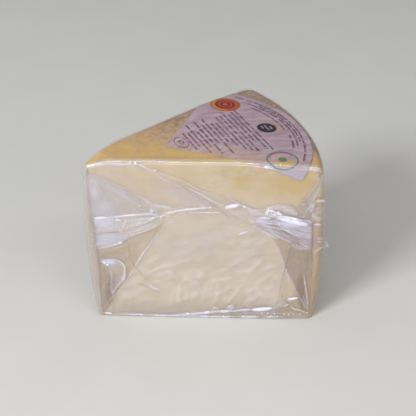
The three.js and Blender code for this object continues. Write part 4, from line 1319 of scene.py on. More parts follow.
# Folds of the front film: style, how far out, and the path or its name. They are milky creases
# that also carry the film's highlights as painted highlights, and those in the styles blaze, bar,
# spot, glint and rim are painted highlights alone.
foldsAndPaintedGlints = [
    # the upper edge on the left
    ("soft", 0.2, [(1.4, 78.4), (5.1, 78.7), (9.5, 78.7), (18.4, 79)]),
    ("line", 0.4, [(1.4, 78.6), (5.1, 78.8), (9.5, 78.8)]),
    ("thin", 0.5, [(1.7, 77.8), (3.3, 78)]),
    ("line", 0.6, [(9.3, 78.7), (10.9, 78.2), (14.4, 78.1), (17.9, 78.4), (18.8, 78.9)]),
    ("spot", 0.6, [(18.4, 78.9), (19.4, 79)]),
    ("spot", 0.7, [(20.3, 78.8), (21.5, 78.5)]),
    ("line", 0.3, [(19.5, 79.2), (23.3, 79.4), (28.3, 79.3), (35.5, 79.2)]),
    # the slanting strip
    ("line", 0.9, [(21.4, 78.4), (23.9, 77.8), (26.9, 75)]),
    ("thin", 0.9, "slantLow"),
    ("thin", 0.9, "slantHigh"),
    ("line", 0.95, [(41, 67.2), (44, 65.4), (46.7, 64), (51.4, 61), (57, 58)]),
    ("spot", 0.9, [(28.1, 75.6), (29.3, 74.9)]),
    # the level band and the middle
    ("band", 0.75, "bandLine"),
    ("bar", 0.8, [(3.8, 51.9), (6.2, 51.8), (8.6, 51.7)]),
    ("spot", 0.8, [(30.2, 52.8), (31.2, 52.2)]),
    ("band", 0.8, "middle"),
    ("line", 0.85, [(32, 53.2), (38, 55.2), (44.3, 56.3), (51.4, 57.1)]),
    ("line", 0.6, [(42.4, 54.4), (47.3, 54.7), (51.4, 54.9), (54.3, 54.8), (57.2, 54.4)]),
    ("line", 0.9, [(48.6, 58.6), (49, 57.2), (50.2, 57.1)]),
    ("glint", 0.9, [(50.6, 57.3), (52, 57.5)]),
    ("blaze", 1, [(57, 57.2), (60, 58), (63.4, 58.9)]),
    ("bar", 1.05, [(57.6, 57.4), (60, 58), (63, 58.7)]),
    # the right end of the slanting strip
    ("line", 0.9, [(58.5, 62.4), (61.3, 60.5), (64.5, 58.6), (66.7, 57.7), (68.6, 56.7),
                   (71.4, 56.5), (73.7, 56.9), (75.4, 55.7)]),
    ("glint", 0.9, [(64.6, 58.2), (65.9, 57.6)]),
    ("soft", 0.9, [(66.6, 57.2), (69, 55.4), (72.5, 55.2)]),
    ("thin", 0.9, [(59, 56.3), (62.1, 54.2), (65.4, 50.7)]),
    ("band", 0.6, [(62.6, 43.9), (67.2, 45.7)]),
    # the left gusset
    ("soft", 0.5, [(21.9, 61.9), (23.7, 61.6), (26, 59.9), (27.7, 57.1), (28.8, 54.7),
                   (30.9, 52.4)]),
    ("line", 0.5, [(22.6, 61.6), (25.6, 60), (27.7, 57.1), (28.8, 54.7), (30.2, 52.9)]),
    ("band", 0.8, [(26.2, 53.7), (26.9, 55.9), (27.6, 53.9)]),
    ("glint", 0.5, [(21.6, 57.9), (22.4, 57.7)]),
    ("soft", 0.75, [(27.7, 57.9), (32.1, 57.4), (35.3, 56.4)]),
    ("thin", 0.75, [(27.7, 57.9), (32.1, 57.3), (37.3, 56.6)]),
    ("thin", 0.5, "gussetTop"),
    ("thin", 0.5, "gussetInner"),
    ("thin", 0.5, [(4.2, 71.6), (14, 63.6), (21.6, 58.2), (25.4, 54.2)]),
    # the left patch and band
    ("thin", 0.5, [(9, 52), (10.2, 48.7), (11.2, 46.8)]),
    ("thin", 0.5, [(11.3, 50.8), (12.5, 47.6), (13.6, 45.4)]),
    ("line", 0.5, [(16.8, 51.7), (15.5, 49.1), (14.3, 45.6)]),
    ("band", 0.6, [(11.6, 50.4), (14.3, 50.4)]),
    ("spot", 0.7, [(13.4, 44.9), (14.1, 45.1)]),
    ("thin", 0.6, [(14.4, 45), (18.4, 47.4), (21.5, 49.3), (25.7, 50)]),
    ("thin", 0.6, [(15.3, 43.7), (21.4, 45.6), (27.4, 47.6), (29.9, 49.1)]),
    ("thin", 0.6, [(15.8, 41.9), (22.8, 44.6), (28.9, 47.6), (32, 50.1)]),
    ("thin", 0.6, [(16.4, 42.6), (22, 46.4), (26, 48.8), (30.4, 51)]),
    ("line", 0.6, [(3.8, 36.5), (6.2, 36.6), (9.3, 37.2), (13, 38.8), (15.1, 40.2)]),
    ("spot", 0.6, [(12.6, 38.6), (13.9, 39.3)]),
    ("thin", 0.6, [(4.4, 40.9), (8, 40.8), (12, 41.8)]),
    # the foot on the left, with its loop
    ("line", 0.55, [(25, 37.6), (24.1, 36.2), (21.5, 31.7), (18.9, 26.8)]),
    ("thin", 0.55, "foot"),
    ("line", 0.6, "loopOuter"),
    ("thin", 0.6, "loopInner"),
    ("line", 0.65, [(14.6, 23.6), (14.4, 21), (13.6, 18)]),
    ("spot", 0.7, [(5.9, 29), (6.9, 28.3)]),
    ("spot", 0.7, [(7.1, 27.8), (8, 27.1)]),
    ("soft", 0.6, [(24.4, 17.7), (26.3, 15.7), (28.1, 14.7), (30, 14.5)]),
    ("thin", 0.6, [(25, 16.8), (26.3, 15.8), (28.1, 14.9), (30.2, 14.6)]),
    # along the foot
    ("band", 0.6, "footLine"),
    ("spot", 0.7, [(40.4, 1.8), (42.2, 1.9)]),
    ("rim", 0.45, [(15, 1.1), (18.8, 1.1), (23, 1.1)]),
    ("rim", 0.45, [(24, 1), (30.6, 0.9), (36, 0.9)]),
    ("rim", 0.45, [(46, 0.8), (51.6, 0.8)]),
    ("rim", 0.45, [(54, 0.8), (60.4, 0.8)]),
    ("rim", 0.45, [(64, 0.9), (68, 1), (73, 1)]),
    ("rim", 0.45, [(75, 1.1), (81, 1.2)]),
    ("rim", 0.45, [(3.4, 1.7), (7.4, 1.4)]),
    ("bar", 0.7, [(48.3, 2.4), (51.6, 2.8)]),
    ("bar", 0.7, [(55.6, 3.1), (59.6, 3.5)]),
    ("line", 0.65, [(51.4, 3), (54, 5.4), (54.9, 3.3)]),
    ("line", 0.65, [(58.5, 3.4), (60, 6.3), (61, 3.6)]),
    ("soft", 0.65, [(60, 4), (61.4, 7.7)]),
    ("blaze", 0.7, [(69.2, 4.4), (71.8, 4.6), (75, 5), (78.7, 5.6)]),
    ("bar", 0.7, [(69.6, 4.4), (74, 4.9), (78.4, 5.6)]),
    ("band", 0.7, [(62, 3.7), (66, 4.2), (69.4, 4.4)]),
    # the foot on the right
    ("bar", 0.8, [(84.4, 10.6), (85.7, 10.8), (87.4, 11.2), (89.2, 11.6)]),
    ("bar", 0.82, [(84.6, 10.5), (86.4, 11)]),
    ("soft", 0.6, [(78.4, 5.4), (80.4, 6.5), (82.2, 8.2), (84.6, 9.5)]),
    ("line", 0.6, [(82.4, 6.5), (84.2, 7.3), (85.6, 8.1)]),
    ("line", 0.6, [(85.9, 7.9), (87.4, 5.7), (90.1, 4.8), (92.7, 3.8), (94.3, 3.3)]),
    ("rim", 0.3, [(0.8, 1.6), (6, 1.2), (17.7, 1.2), (30.9, 0.9), (48, 0.7), (65, 0.9), (79, 1.1),
                  (88, 1.2), (94.3, 1.5), (96.4, 2.4)]),
    ("thin", 0.6, [(62, 2.2), (70, 2.6), (78, 2.9), (86, 2.6), (93, 2.4)]),
    # the crossing and the right gusset
    ("thin", 0.6, [(85.6, 23.6), (83.7, 21.2), (81.6, 18)]),
    ("thin", 0.5, "crossDown"),
    ("thin", 0.5, [(89.7, 31.9), (90.4, 30.3), (89.2, 27.1)]),
    ("line", 0.95, [(92.8, 36.2), (95.2, 38), (97.7, 40.1)]),
    # the gathered knot
    ("soft", 1, [(78, 53.2), (82, 52.8), (86, 52), (91, 50.8)]),
    ("blaze", 1.25, [(78, 53.4), (81, 52.9), (84.6, 52.1), (88, 51.2), (90.8, 50.6)]),
    ("bar", 1.3, [(78.6, 54.2), (82, 53.9), (85, 53.3), (88.4, 52.4)]),
    ("bar", 1.3, [(80.5, 52.3), (84, 51.4), (87.4, 50.6), (90.8, 49.9)]),
    ("band", 1.25, [(81.4, 51), (84.4, 50), (87.6, 49.2)]),
    ("blaze", 1.35, [(85.8, 51.7), (88.2, 51.1), (90.2, 50.8)]),
    ("spot", 1.3, [(79.1, 50.3), (79.9, 50.2)]),
    ("band", 1.3, [(74.4, 54.2), (74.6, 56), (75.6, 56.7), (77.3, 56.5), (78.3, 55.4),
                   (77.7, 54.2)]),
    ("line", 1.3, [(75.6, 54.6), (76.2, 55.6), (77.2, 55.3)]),
    ("spot", 1.3, [(74.6, 54.6), (74.9, 55.6)]),
    ("bar", 1.3, [(78.6, 56.8), (79.2, 55.5), (80.6, 54.9)]),
    ("thin", 0.8, [(67.2, 50.4), (69, 51.7), (69.7, 52.3), (72.1, 53)]),
    ("band", 0.8, [(71, 52.8), (74.3, 52.8), (76.6, 52.6)]),
    ("line", 0.8, [(76.6, 52.6), (79, 53.1), (83, 53.2), (87.2, 53.4)]),
    ("line", 0.8, [(67.6, 50.2), (72, 50.9), (75.6, 50.3), (77.8, 50.3), (79.5, 49.7), (80.8, 48)]),
    ("band", 0.8, [(79.5, 49.7), (80.8, 48), (83.2, 46.6), (85, 45.6), (88.4, 44)]),
    ("soft", 0.8, [(79.4, 51.4), (82, 49.4), (85, 47.4), (88, 45.6)]),
    ("line", 0.7, [(72, 48.8), (75.2, 48), (77.7, 45.5), (79.2, 44.1), (80.6, 43.2)]),
    ("thin", 0.7, [(67.6, 49.9), (72, 49.6), (77, 47.4), (81, 44.6)]),
    ("line", 0.7, [(67.4, 49.6), (72, 46.9), (75, 45.3), (78, 44.2), (79.9, 43.3), (81.9, 42.3),
                   (83.3, 41.3), (85.7, 41)]),
    ("thin", 0.7, [(81.9, 44.6), (85.1, 44.5), (87.2, 43.6), (90.4, 42.1)]),
    ("line", 0.7, [(86.9, 41.3), (89.3, 39.8), (92.1, 38.2)]),
    ("thin", 0.7, [(86.1, 42.6), (90.5, 40.7), (92.2, 40.4)]),
    ("thin", 0.8, [(91.7, 50.5), (90.3, 47.9), (88.4, 45.9), (88, 43.9)]),
    ("line", 0.8, [(87.2, 54.7), (88.6, 54.6), (89.7, 55.6)]),
    ("thin", 0.8, "gatherRing"),
    ("thin", 0.8, [(75, 56.6), (77, 58), (80, 58.6), (83, 58), (85, 56.4)]),
    ("soft", 0.85, [(80.4, 57.4), (83.4, 56.8), (85.8, 55.4)]),
    # the funnel and the heel
    ("thin", 1, "funnelLeft"),
    ("soft", 1, "funnelRight"),
    ("thin", 0.8, [(96.2, 75.6), (93.4, 69.6), (91, 64.8), (89.6, 60.4)]),
    ("soft", 0.8, [(92, 62.5), (91.4, 60), (90.7, 57.5)]),
    ("band", 0.95, [(92.8, 62.3), (94.3, 62.7), (96.9, 62.7), (98.4, 62.7)]),
    ("band", 0.95, [(92.5, 51), (94.1, 50.9), (95.8, 51)]),
    ("soft", 0.95, [(92.8, 55.4), (94.2, 54), (96, 54.4)]),
    ("line", 0.95, [(93.3, 62.2), (92.2, 60), (91.7, 57.6)]),
    ("line", 0.95, [(94.1, 42.3), (96.2, 41.8)]),
    ("thin", 0.95, [(95.8, 51), (98, 51.4), (99.6, 51)]),
    ("thin", 0.4, [(95.2, 66.3), (96.1, 64.5), (97.6, 63.1)]),
    # the upper edge on the right
    ("soft", 0.3, [(89, 78.9), (92, 78.5), (94.5, 78.1), (97, 77.3)]),
    ("thin", 0.3, [(90.6, 78.8), (92, 78.5), (94.5, 78.1), (97, 77.3)]),
    ("line", 0.3, [(66.6, 78.4), (70, 78.3), (73.6, 78.1), (75.1, 78), (77.1, 77.5), (80.3, 76.9)]),
    ("bar", 0.35, [(72.4, 78.2), (74.4, 78.1), (77, 77.7)]),
]

# Short glints, each drawn level through one place.
sparkles = [(79.5, 2.4), (81, 1.3), (85.9, 2.2), (87.8, 2.6), (83.9, 2.5), (76.6, 2.5), (73.8, 2.4),
            (90.9, 2.6), (93.9, 3.3), (6, 1.2), (18.6, 1.2), (20.8, 1.2), (31, 1), (49, 0.8),
            (53, 0.9), (57, 1), (65.6, 1.2), (69.6, 1.3), (77.8, 1.3), (71, 1.3)]

# Painted shade: creases, shades and veils that darken the film in its folds and over shaded
# places, and the thin dark rim beside the gather's dip.
darkFolds = [
    ("crease", 0.7, [(57, 54.2), (58.2, 53.8)]),
    ("crease", 0.85, [(33, 69.9), (38.5, 66.9), (45.5, 62.7), (52.6, 58), (57.3, 53.9)]),
    ("crease", 0.98, [(46, 62.6), (52.6, 58.2), (57.3, 54.1), (60.6, 52), (64, 50.9)]),
    ("crease", 0.6, [(16.9, 41.2), (16.7, 33.9), (16.5, 31)]),
    ("crease", 0.6, [(16.5, 30.5), (18.3, 27.5), (20.1, 24.9), (22.1, 21.9), (24.2, 18.9)]),
    ("crease", 0.6, [(18.5, 18.4), (21.9, 16.9), (26, 14.6), (29.7, 13.4)]),
    ("shade", 0.5, "tipEdge"),
    ("veil", 0.42, [(8.4, 22), (8.2, 13), (6.2, 5)]),
    ("veil", 0.48, [(91.2, 4), (90, 15), (88.6, 25)]),
    ("crease", 0.6, "crossUp"),
    ("crease", 0.5, [(92.3, 51.4), (92.3, 46.8), (92.5, 42.9), (92.2, 37)]),
    ("crease", 0.6, [(92, 37.6), (91.5, 36.1), (90.8, 32), (89.7, 27.7), (89.3, 25.7)]),
    ("shade", 0.8, "gatherDip"),
    ("thin", 0.85, "gatherDip"),
    ("shade", 0.9, [(80.6, 54), (84, 54), (87, 54)]),
    ("shade", 0.8, [(82, 43.4), (86, 42.8), (89, 41.4)]),
]

# Fine folds that run out of a point where the film is drawn together: point, the angles between
# which they lie, shortest and longest, how many, and how far out they start.
frontFans = [
    ((30.6, 52.8), (188, 214), (6, 15), 4, 0.7),
    ((94.6, 3.5), (98, 126), (8, 22), 4, 0.5),
    ((67.2, 50.2), (-34, 2), (6, 20), 10, 0.85),
    ((92.2, 37.6), (150, 178), (4, 12), 4, 0.8),
    ((88.0, 55.0), (28, 78), (3, 8), 3, 0.9),
]
backFans = [
    ((1.5, 77.0), (-62, -12), (12, 44), 6, 0.12),
    ((1.5, 2.0), (12, 60), (12, 40), 6, 0.12),
    ((70.0, 76.5), (196, 250), (10, 36), 6, 0.12),
    ((70.0, 2.5), (118, 168), (10, 36), 6, 0.12),
]
heelFans = [
    ((0.5, 44.0), (-34, 38), (10, 34), 12, 0.12),
    ((65.5, 76.0), (196, 248), (8, 28), 5, 0.12),
    ((65.5, 2.5), (116, 164), (8, 28), 5, 0.12),
    ((0.5, 2.5), (22, 62), (8, 24), 4, 0.12),
]

# The gathered knot: layered fans that spread to the right of one point, each in soft pleats with
# fine ones on them. Their patches lay painted light on facets that face the lamps and painted
# shade on those that turn away. A pair is where an eased share starts and is complete along the fan.
gather = {
    "step": 0.24,
    "along": 2.6,  # changes of a pleat along its fan
    "pleatDepth": 2.2,
    "pleatHeight": 0.24,
    "pleatHaze": 0.4,
    "fineCloser": (2.2, 1.6, 1.0),
    "fineDepth": 2.0,
    "fineHeight": 0.08,
    "fineHaze": 0.26,
    "rise": (0.0, 0.25),
    "hazeStart": (0.0, 0.16),
    "hazeEnd": (1.0, 0.95),
    "roughness": 0.1,
}
gatherFans = [
    {
        "lower": [(67.4, 49.6), (69.6, 47.9), (73.6, 45.9), (76.5, 44.6), (78.5, 43.4),
                  (80.9, 42.6), (83.3, 41.2), (86.9, 40.8), (89.3, 39.6), (92.4, 38)],
        "upper": [(67.4, 50.4), (70, 50.8), (74.3, 51), (77.8, 50.6), (80.8, 48.6), (85, 46.2),
                  (88.4, 44.8), (92.4, 44.8)],
        "out": 0.5, "tint": (206, 190, 198), "haze": 0.36, "seed": 61, "pleats": 6,
        "patches": [((76, 47.4), (4, 1.2), -30, -0.1), ((86, 43.4), (5, 1.6), -20, 0.1)],
    },
    {
        "lower": [(67.4, 50.2), (72, 50.6), (76, 50.3), (79.5, 49.5), (83.2, 46.7), (86.8, 44.9),
                  (88.4, 44.1), (92.4, 43.6)],
        "upper": [(67.4, 50.8), (69.7, 52.3), (72.1, 53), (76.3, 52.8), (80, 53.2), (84, 53.2),
                  (87.4, 53.4), (92.4, 53)],
        "out": 0.6, "tint": (222, 215, 232), "haze": 0.3, "seed": 65, "pleats": 7,
        "patches": [((81.4, 50.6), (2.6, 1.4), -30, 0.35), ((86.6, 47.4), (3.4, 2.4), -10, 0.15),
                    ((72, 51.6), (3.4, 0.8), 8, 0.2), ((90.8, 50), (1.6, 2.6), 0, 0.1)],
    },
    {
        "lower": [(70.5, 52.2), (74.3, 52.9), (78, 53.2), (83, 53.2), (87.2, 53.6), (89, 54.2)],
        "upper": [(71, 52.8), *foldLines["gatherRing"][:8], (89, 54.8)],
        "out": 0.55, "tint": (224, 212, 210), "haze": 0.3, "seed": 69, "pleats": 5,
        "patches": [((81, 57.6), (4, 1), 0, 0.1), ((77, 54.8), (2.2, 1.8), 0, 0.25),
                    ((83.6, 54.6), (3, 0.8), 0, -0.12)],
    },
]


def filmRipple(points, seed, amount):
    return amount * (0.7 * softNoise(points, 8.0, seed) + 0.3 * softNoise(points, 3.2, seed + 1))


def addSkin():
    # the film's first layer, drawn tight over the whole wedge and its label
    points, normals, poles = wedgeShell(film["skinSize"], film["skinLift"])
    z, up = points[..., 2], normals[..., 2]
    nearEdge = ease(*film["skinEdge"], np.minimum(z, wedge["height"] - z)) * (np.abs(up) < 0.9)
    seed = film["skinSeed"]
    ripple = filmRipple(points, seed, film["skinRipple"] + film["skinEdgeRipple"] * nearEdge)
    ripple = np.where(up < -0.2, 0.0, ripple)
    points = points + normals * ripple[..., None]
    points[..., 2] = np.maximum(points[..., 2], film["lowest"])
    poles[0, 2] = film["lowest"]
    flat, faces = shellFaces(points, poles)
    haze = 0.5 + 0.3 * softNoise(flat, 12.0, seed + 2)
    material = filmMaterial("clearFilm", film["skinMilk"], roughness=film["skinRoughness"])
    return addWall(addPiece("filmSkin", flat, faces, material, {"haze": haze}), film["thickness"])


def patch(drawn, centre, size, turn):
    # a soft oval that is 1 at its centre and falls off as a bell
    c, s = math.cos(math.radians(turn)), math.sin(math.radians(turn))
    d = drawn - np.array(centre)
    x = (d[..., 0] * c + d[..., 1] * s) / size[0]
    y = (-d[..., 0] * s + d[..., 1] * c) / size[1]
    return np.exp(-(x**2 + y**2))


def patches(drawn, spots):
    return sum(strength * patch(drawn, *spot) for *spot, strength in spots)


def onFront(drawn, lift):
    # moves what is drawn as seen on to the surface, then out by lift and the film's own bulges
    lift = lift + patches(drawn, filmBulges)
    x, z = drawn[..., 0], drawn[..., 1]
    start = frontDrawing["heelStart"]
    x = np.where(x > start, start + (x - start) * frontDrawing["heelShare"], x)
    s = x + wedge["drawingStart"] - outline["start"]
    behind = outlineAt(s)[0][..., 1] - frontY
    seen = frontDrawing["raise"] + frontDrawing["slope"] * (lift - behind)
    h = z + seen * ease(*frontDrawing["raiseTop"], z) * ease(*frontDrawing["raiseFoot"], z)
    points = sidePoint(s, h, lift)[0]
    points[..., 2] = np.maximum(points[..., 2], film["lowest"])
    return points


def onHeel(drawn, lift):
    # x is measured round the wheel's own edge from the front heel
    return sidePoint(outline["heelStart"] + drawn[..., 0], drawn[..., 1], lift)[0]


def onBack(drawn, lift):
    # x is measured along the back cut from the back heel
    return sidePoint(outline["backStart"] + drawn[..., 0], drawn[..., 1], lift)[0]


def pathOf(marks):
    return foldLines[marks] if isinstance(marks, str) else marks


def pathLength(marks):
    return np.linalg.norm(np.diff(np.asarray(marks, float), axis=0), axis=1).sum()


def glow(drawn, marks, side, reach):
    # 1 beside the path on its one side, falling off with the distance from it
    marks = pathOf(marks)
    gap, share = distanceToPath(drawn, smoothPath(marks, 6 * len(marks)))
    ends = np.where((share <= 0.0) | (share >= 1.0), 0.0, 1.0)
    ends = ends * np.sin(math.pi * np.clip(share, 0.03, 0.97)) ** 0.3
    return ease(-0.15, 0.25, gap * side) * np.exp(-np.abs(gap) / reach) * ends


def between(lower, upper, step):
    # a grid of places between two curves of the drawing
    lower, upper = pathOf(lower), pathOf(upper)
    across = int(max(pathLength(lower), pathLength(upper)) / step) + 2
    low, top = smoothPath(lower, across), smoothPath(upper, across)
    tall = int(np.linalg.norm(top - low, axis=1).max() / step) + 2
    share = np.linspace(0.0, 1.0, tall)[:, None, None]
    return low + (top - low) * share


def addSheet(name, points, haze, material):
    piece = addPiece(name, points, gridFaces(*points.shape[:2]), material, {"haze": haze})
    return addWall(piece, film["thickness"])


def addFrontSheet(name, sheet, seed):
    # a sheet's places come from its two curves, its height from soft noise about "out", and its
    # milkiness from its haze, glows and patches, made uneven by streaks
    sheet = {**sheetNorm, **sheet}
    drawn = between(sheet["lower"], sheet["upper"], film["sheetStep"])
    spot = onPlane(drawn)
    haze = sheet["haze"] + sum(s * glow(drawn, *line) for *line, s in sheet["glows"])
    haze = haze + patches(drawn, sheet["patches"])
    streaks = softNoise(spot, (*sheet["streak"], 1.0), seed + 5) * 0.7
    streaks = streaks + softNoise(spot, 5.0, seed + 6) * 0.3
    haze = np.clip(haze * (1.0 + sheet["uneven"] * streaks), 0.0, 1.0)
    points = onFront(drawn, sheet["out"] + filmRipple(spot, seed, sheet["ripple"]))
    return addSheet(name, points, haze, filmMaterial(name + "Sheet", 1.0, sheet["tint"]))


def foldStrip(fold, place, random, rows):
    # crest height falls off as exp(-(distance / half width)^1.3) to each side of the path, and
    # its milkiness as exp(-(distance / half width)^2)
    style, out, marks = fold
    half, height, reach, crest, beside = foldStyles[style]
    marks = pathOf(marks)
    path = smoothPath(marks, int(pathLength(marks) / foldShape["step"]) + 6)
    run = unit(np.gradient(path, axis=0))
    side = np.stack([-run[:, 1], run[:, 0]], -1)
    share = np.linspace(0.0, 1.0, len(path))
    body = np.sin(math.pi * np.clip(share, 0.004, 0.996)) ** 0.4
    spot = np.stack([path[:, 0], path[:, 1], np.full(len(path), random.uniform(0, 90))], -1)
    seed, (long, short) = foldShape["seed"], foldShape["unevenSizes"]
    uneven = 1.0 + 0.5 * softNoise(spot, long, seed) + 0.25 * softNoise(spot, short, seed + 1)
    onCrest, beyond = (np.array(shares) for shares in foldRows[rows])
    inner = half * onCrest
    wing = np.concatenate([inner, inner[-1] + max(reach - inner[-1], 0.1) * beyond])
    u = np.concatenate([-wing[::-1], wing[1:]])
    away = np.abs(u)
    rise = height * np.exp(-((away / half) ** 1.3))
    fade = np.clip(1.0 - (away - half) / max(reach - half, 0.1), 0.0, 1.0) ** 1.4
    strip = beside * fade
    haze = strip[None] + (crest - strip)[None] * np.exp(-((away / half) ** 2))[None] * uneven[:, None]
    sway = foldShape["sway"] * softNoise(spot, foldShape["swaySize"], seed + 2)
    drawn = path[:, None] + side[:, None] * (u[None] * body[:, None] + sway[:, None])[..., None]
    points = place(drawn, out + rise[None] * (body * np.clip(uneven, 0.5, 1.5))[:, None])
    return points, np.clip(foldShape["milk"] * haze * body[:, None], 0.0, 1.0)


def addFolds(name, folds, place, tint, seed, rows):
    # one mesh of separate strips
    random = np.random.default_rng(seed)
    flat, faces, values, first = [], [], [], 0
    for fold in folds:
        points, haze = foldStrip(fold, place, random, rows)
        flat.append(points.reshape(-1, 3))
        faces.append(gridFaces(*haze.shape, first=first)[:, ::-1])
        values.append(haze.ravel())
        first += haze.size
    material = filmMaterial(name + "Sheet", 1.0, tint, foldShape["roughness"])
    values = {"haze": np.concatenate(values)}
    piece = addPiece(name, np.concatenate(flat), np.concatenate(faces), material, values)
    return addWall(piece, film["thickness"])


def fanFolds(fans, seed, styles=("thin", "thin", "line"), sway=0.12):
    random = np.random.default_rng(seed)
    folds = []
    for (x, z), (low, high), (short, long), count, out in fans:
        for number in range(count):
            angle = math.radians(low + (high - low) * (number + random.uniform(0.2, 0.8)) / count)
            bend = random.uniform(-sway, sway)
            start, reach = random.uniform(0.5, 2.0), random.uniform(short, long)
            marks = []
            for share in (0.0, 0.5, 1.0):
                far = start + reach * share
                turn = angle + bend * share
                marks.append((x + far * math.cos(turn), z + far * math.sin(turn)))
            folds.append((styles[random.integers(len(styles))], out, marks))
    return folds


def addGather():
    # a fan's pleats follow soft noise across it, which changes slowly along it
    pieces = []
    for number, fan in enumerate(gatherFans):
        drawn = between(fan["lower"], fan["upper"], gather["step"])
        across, along = (np.linspace(0.0, 1.0, count) for count in drawn.shape[:2])
        across, along = np.meshgrid(across, along, indexing="ij")
        layer = np.full_like(along, 3.0 * number)
        spot = np.stack([across * fan["pleats"], along * gather["along"], layer], -1)
        pleat = 1.0 - gather["pleatDepth"] * np.abs(softNoise(spot, 1.0, fan["seed"]))
        fine = softNoise(spot * np.array(gather["fineCloser"]), 1.0, fan["seed"] + 1)
        fine = 1.0 - gather["fineDepth"] * np.abs(fine)
        relief = gather["pleatHeight"] * pleat + gather["fineHeight"] * fine
        lift = fan["out"] + relief * ease(*gather["rise"], along)
        # patches: painted light and shade on whole facets
        haze = fan["haze"] + patches(drawn, fan["patches"])
        ends = ease(*gather["hazeStart"], along) * ease(*gather["hazeEnd"], along)
        haze = haze * (1.0 + gather["pleatHaze"] * pleat + gather["fineHaze"] * fine) * ends
        haze = np.clip(haze, 0.0, 1.0)
        material = filmMaterial(f"gatherSheet{number + 1}", 1.0, fan["tint"], gather["roughness"])
        pieces.append(addSheet(f"filmGather{number + 1}", onFront(drawn, lift), haze, material))
    return pieces


ear = {
    "marks": [(98.8, 34.9), (101.2, 35.6), (104.5, 36.9), (103.8, 38.9), (102.8, 41.4), (99.4, 44.2)],
    "root": (97.6, 39.6),
    "y": 1.35,
    "wave": 0.28,
    "tint": (220, 204, 208),
    "haze": 0.25,
    "rimHaze": 0.5,
    "roughness": 0.1,
}


def addEar():
    # a loose corner of film that stands out past the heel, just behind the front face
    rim = smoothPath(ear["marks"], 40)
    share = np.linspace(0.0, 1.0, 16)[:, None, None]
    drawn = np.array(ear["root"]) + (rim - np.array(ear["root"])) * share
    spot, share = onPlane(drawn), share[..., 0]
    y = ear["y"] + ear["wave"] * softNoise(spot, 2.5, 91) * share
    points = np.stack([drawn[..., 0], y, drawn[..., 1]], -1)
    haze = ear["haze"] + 0.3 * softNoise(spot, 1.8, 92) + ear["rimHaze"] * share**6
    material = filmMaterial("earSheet", 1.0, ear["tint"], ear["roughness"])
    return addSheet("filmEar", points, np.clip(haze, 0.0, 1.0), material)


def addFilm():
    pieces = [addSkin()]
    for number, (name, sheet) in enumerate(frontSheets.items()):
        pieces.append(addFrontSheet(name, sheet, film["sheetSeed"] + film["seedStep"] * number))
    pieces += addGather()
    glints = [("glint", 0.55, [(x - 0.3, z), (x + 0.4, z + 0.05)]) for x, z in sparkles]
    plain = ("faint", "faint", "thin")
    backFolds, heelFolds = fanFolds(backFans, 28, plain, 0.3), fanFolds(heelFans, 29, plain, 0.3)
    # name, folds, where they lie, tint, seed, rows
    for folds in (
        # painted shade: dark-tinted creases, shades and veils
        ("filmShades", darkFolds, onFront, (152, 126, 114), 8, "full"),
        # milky folds of the film that also carry painted highlights
        ("filmFoldsAndGlints", foldsAndPaintedGlints + glints, onFront, (243, 241, 252), 9, "full"),
        ("filmFineFolds", fanFolds(frontFans, 27), onFront, (236, 230, 240), 17, "light"),
        ("filmBackFolds", backFolds, onBack, (232, 228, 232), 18, "light"),
        ("filmHeelFolds", heelFolds, onHeel, (228, 216, 210), 19, "light"),
    ):
        pieces.append(addFolds(*folds))
    pieces.append(addEar())
    return pieces


# The studio

# The camera is placed in millimetres and degrees; the floor, the lamps and the clip are in metres.
studio = {
    "floor": (222, 220, 215),
    "floorHalf": 3.0,
    "floorFinish": (0.8, 30.0, 0.01),  # roughness, scale and strength of its grain
    "world": (225, 230, 238),
    "worldStrength": 0.17,
    "aim": (0.15, -34.19, 57.58),
    "distance": 455.3,
    "azimuth": 1.6018,
    "elevation": 32.782,
    "focal": 95.19,
    "sensor": 36.0,
    "clip": (0.01, 20.0),
    "clearBounces": 40,  # how many faces of film a ray may pass
    "lampAim": (0.0, -0.01, 0.04),
}
white = (1.0, 1.0, 1.0)

# Place, width and height, power, colour.
lamps = {
    "key": ((-0.8, -0.95, 0.82), (0.4, 0.4), 12.0, (0.95, 0.97, 1.0)),
    "low": ((-0.2, -1.5, 0.2), (0.9, 0.14), 2.4, white),
    "strip": ((0.0, -0.62, 0.98), (1.1, 0.035), 3.2, white),
    "sideStrip": ((-0.9, -0.75, 0.25), (0.05, 0.6), 2.4, white),
    "fill": ((0.9, -0.7, 0.6), (0.8, 0.8), 2.0, white),
    "over": ((0.0, 0.5, 1.3), (1.2, 0.8), 3.4, white),
}


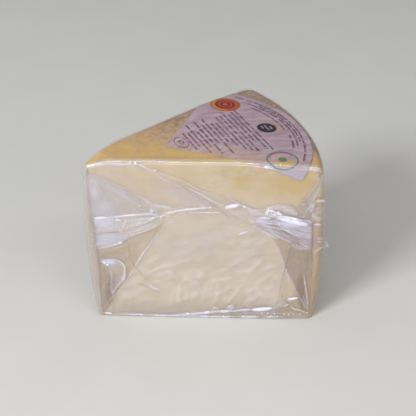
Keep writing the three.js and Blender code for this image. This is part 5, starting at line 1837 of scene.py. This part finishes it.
def addFloor():
    mesh = bpy.data.meshes.new("floor")
    side = studio["floorHalf"]
    corners = [(-side, -side, 0), (side, -side, 0), (side, side, 0), (-side, side, 0)]
    mesh.from_pydata(corners, [], [(0, 1, 2, 3)])
    mesh.materials.append(plainMaterial("floorPaint", studio["floor"], *studio["floorFinish"]))
    floor = bpy.data.objects.new("floor", mesh)
    bpy.context.scene.collection.objects.link(floor)


def addLamp(name, place, size, power, colour):
    light = bpy.data.lights.new(name, "AREA")
    light.shape = "RECTANGLE"
    light.size, light.size_y = size
    light.energy = power
    light.color = colour
    lamp = bpy.data.objects.new(name, light)
    lamp.location = place
    lamp.rotation_euler = (Vector(studio["lampAim"]) - Vector(place)).to_track_quat("-Z", "Y").to_euler()
    bpy.context.scene.collection.objects.link(lamp)


def addCamera():
    azimuth, elevation = math.radians(studio["azimuth"]), math.radians(studio["elevation"])
    level = math.cos(elevation)
    back = Vector((math.sin(azimuth) * level, -math.cos(azimuth) * level, math.sin(elevation)))
    lens = bpy.data.cameras.new("camera")
    lens.sensor_width = studio["sensor"]
    lens.lens = studio["focal"]
    lens.clip_start, lens.clip_end = studio["clip"]
    camera = bpy.data.objects.new("camera", lens)
    aim = Vector(studio["aim"]) * millimetre
    camera.location = aim + back * studio["distance"] * millimetre
    camera.rotation_euler = (-back).to_track_quat("-Z", "Y").to_euler()
    bpy.context.scene.collection.objects.link(camera)
    bpy.context.scene.camera = camera


# The scene

print("cheese")
cheesePiece = addCheese()
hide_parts("wrapped_wedge")

print("label")
labelPieces = [addLabel(), *addPrint()]
for piece in labelPieces:
    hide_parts("paper_label")

print("film")
for piece in addFilm():
    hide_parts("wrapped_wedge")

print("floor, light and camera")
addFloor()
for name, lamp in lamps.items():
    addLamp(name, *lamp)
addCamera()

scene = bpy.context.scene
scene.view_settings.view_transform = "Standard"
scene.cycles.transparent_max_bounces = studio["clearBounces"]
world = bpy.data.worlds.new("studioAir")
world.use_nodes = True
sky = world.node_tree.nodes["Background"]
sky.inputs[0].default_value = solid(studio["world"])
sky.inputs[1].default_value = studio["worldStrength"]
scene.world = world
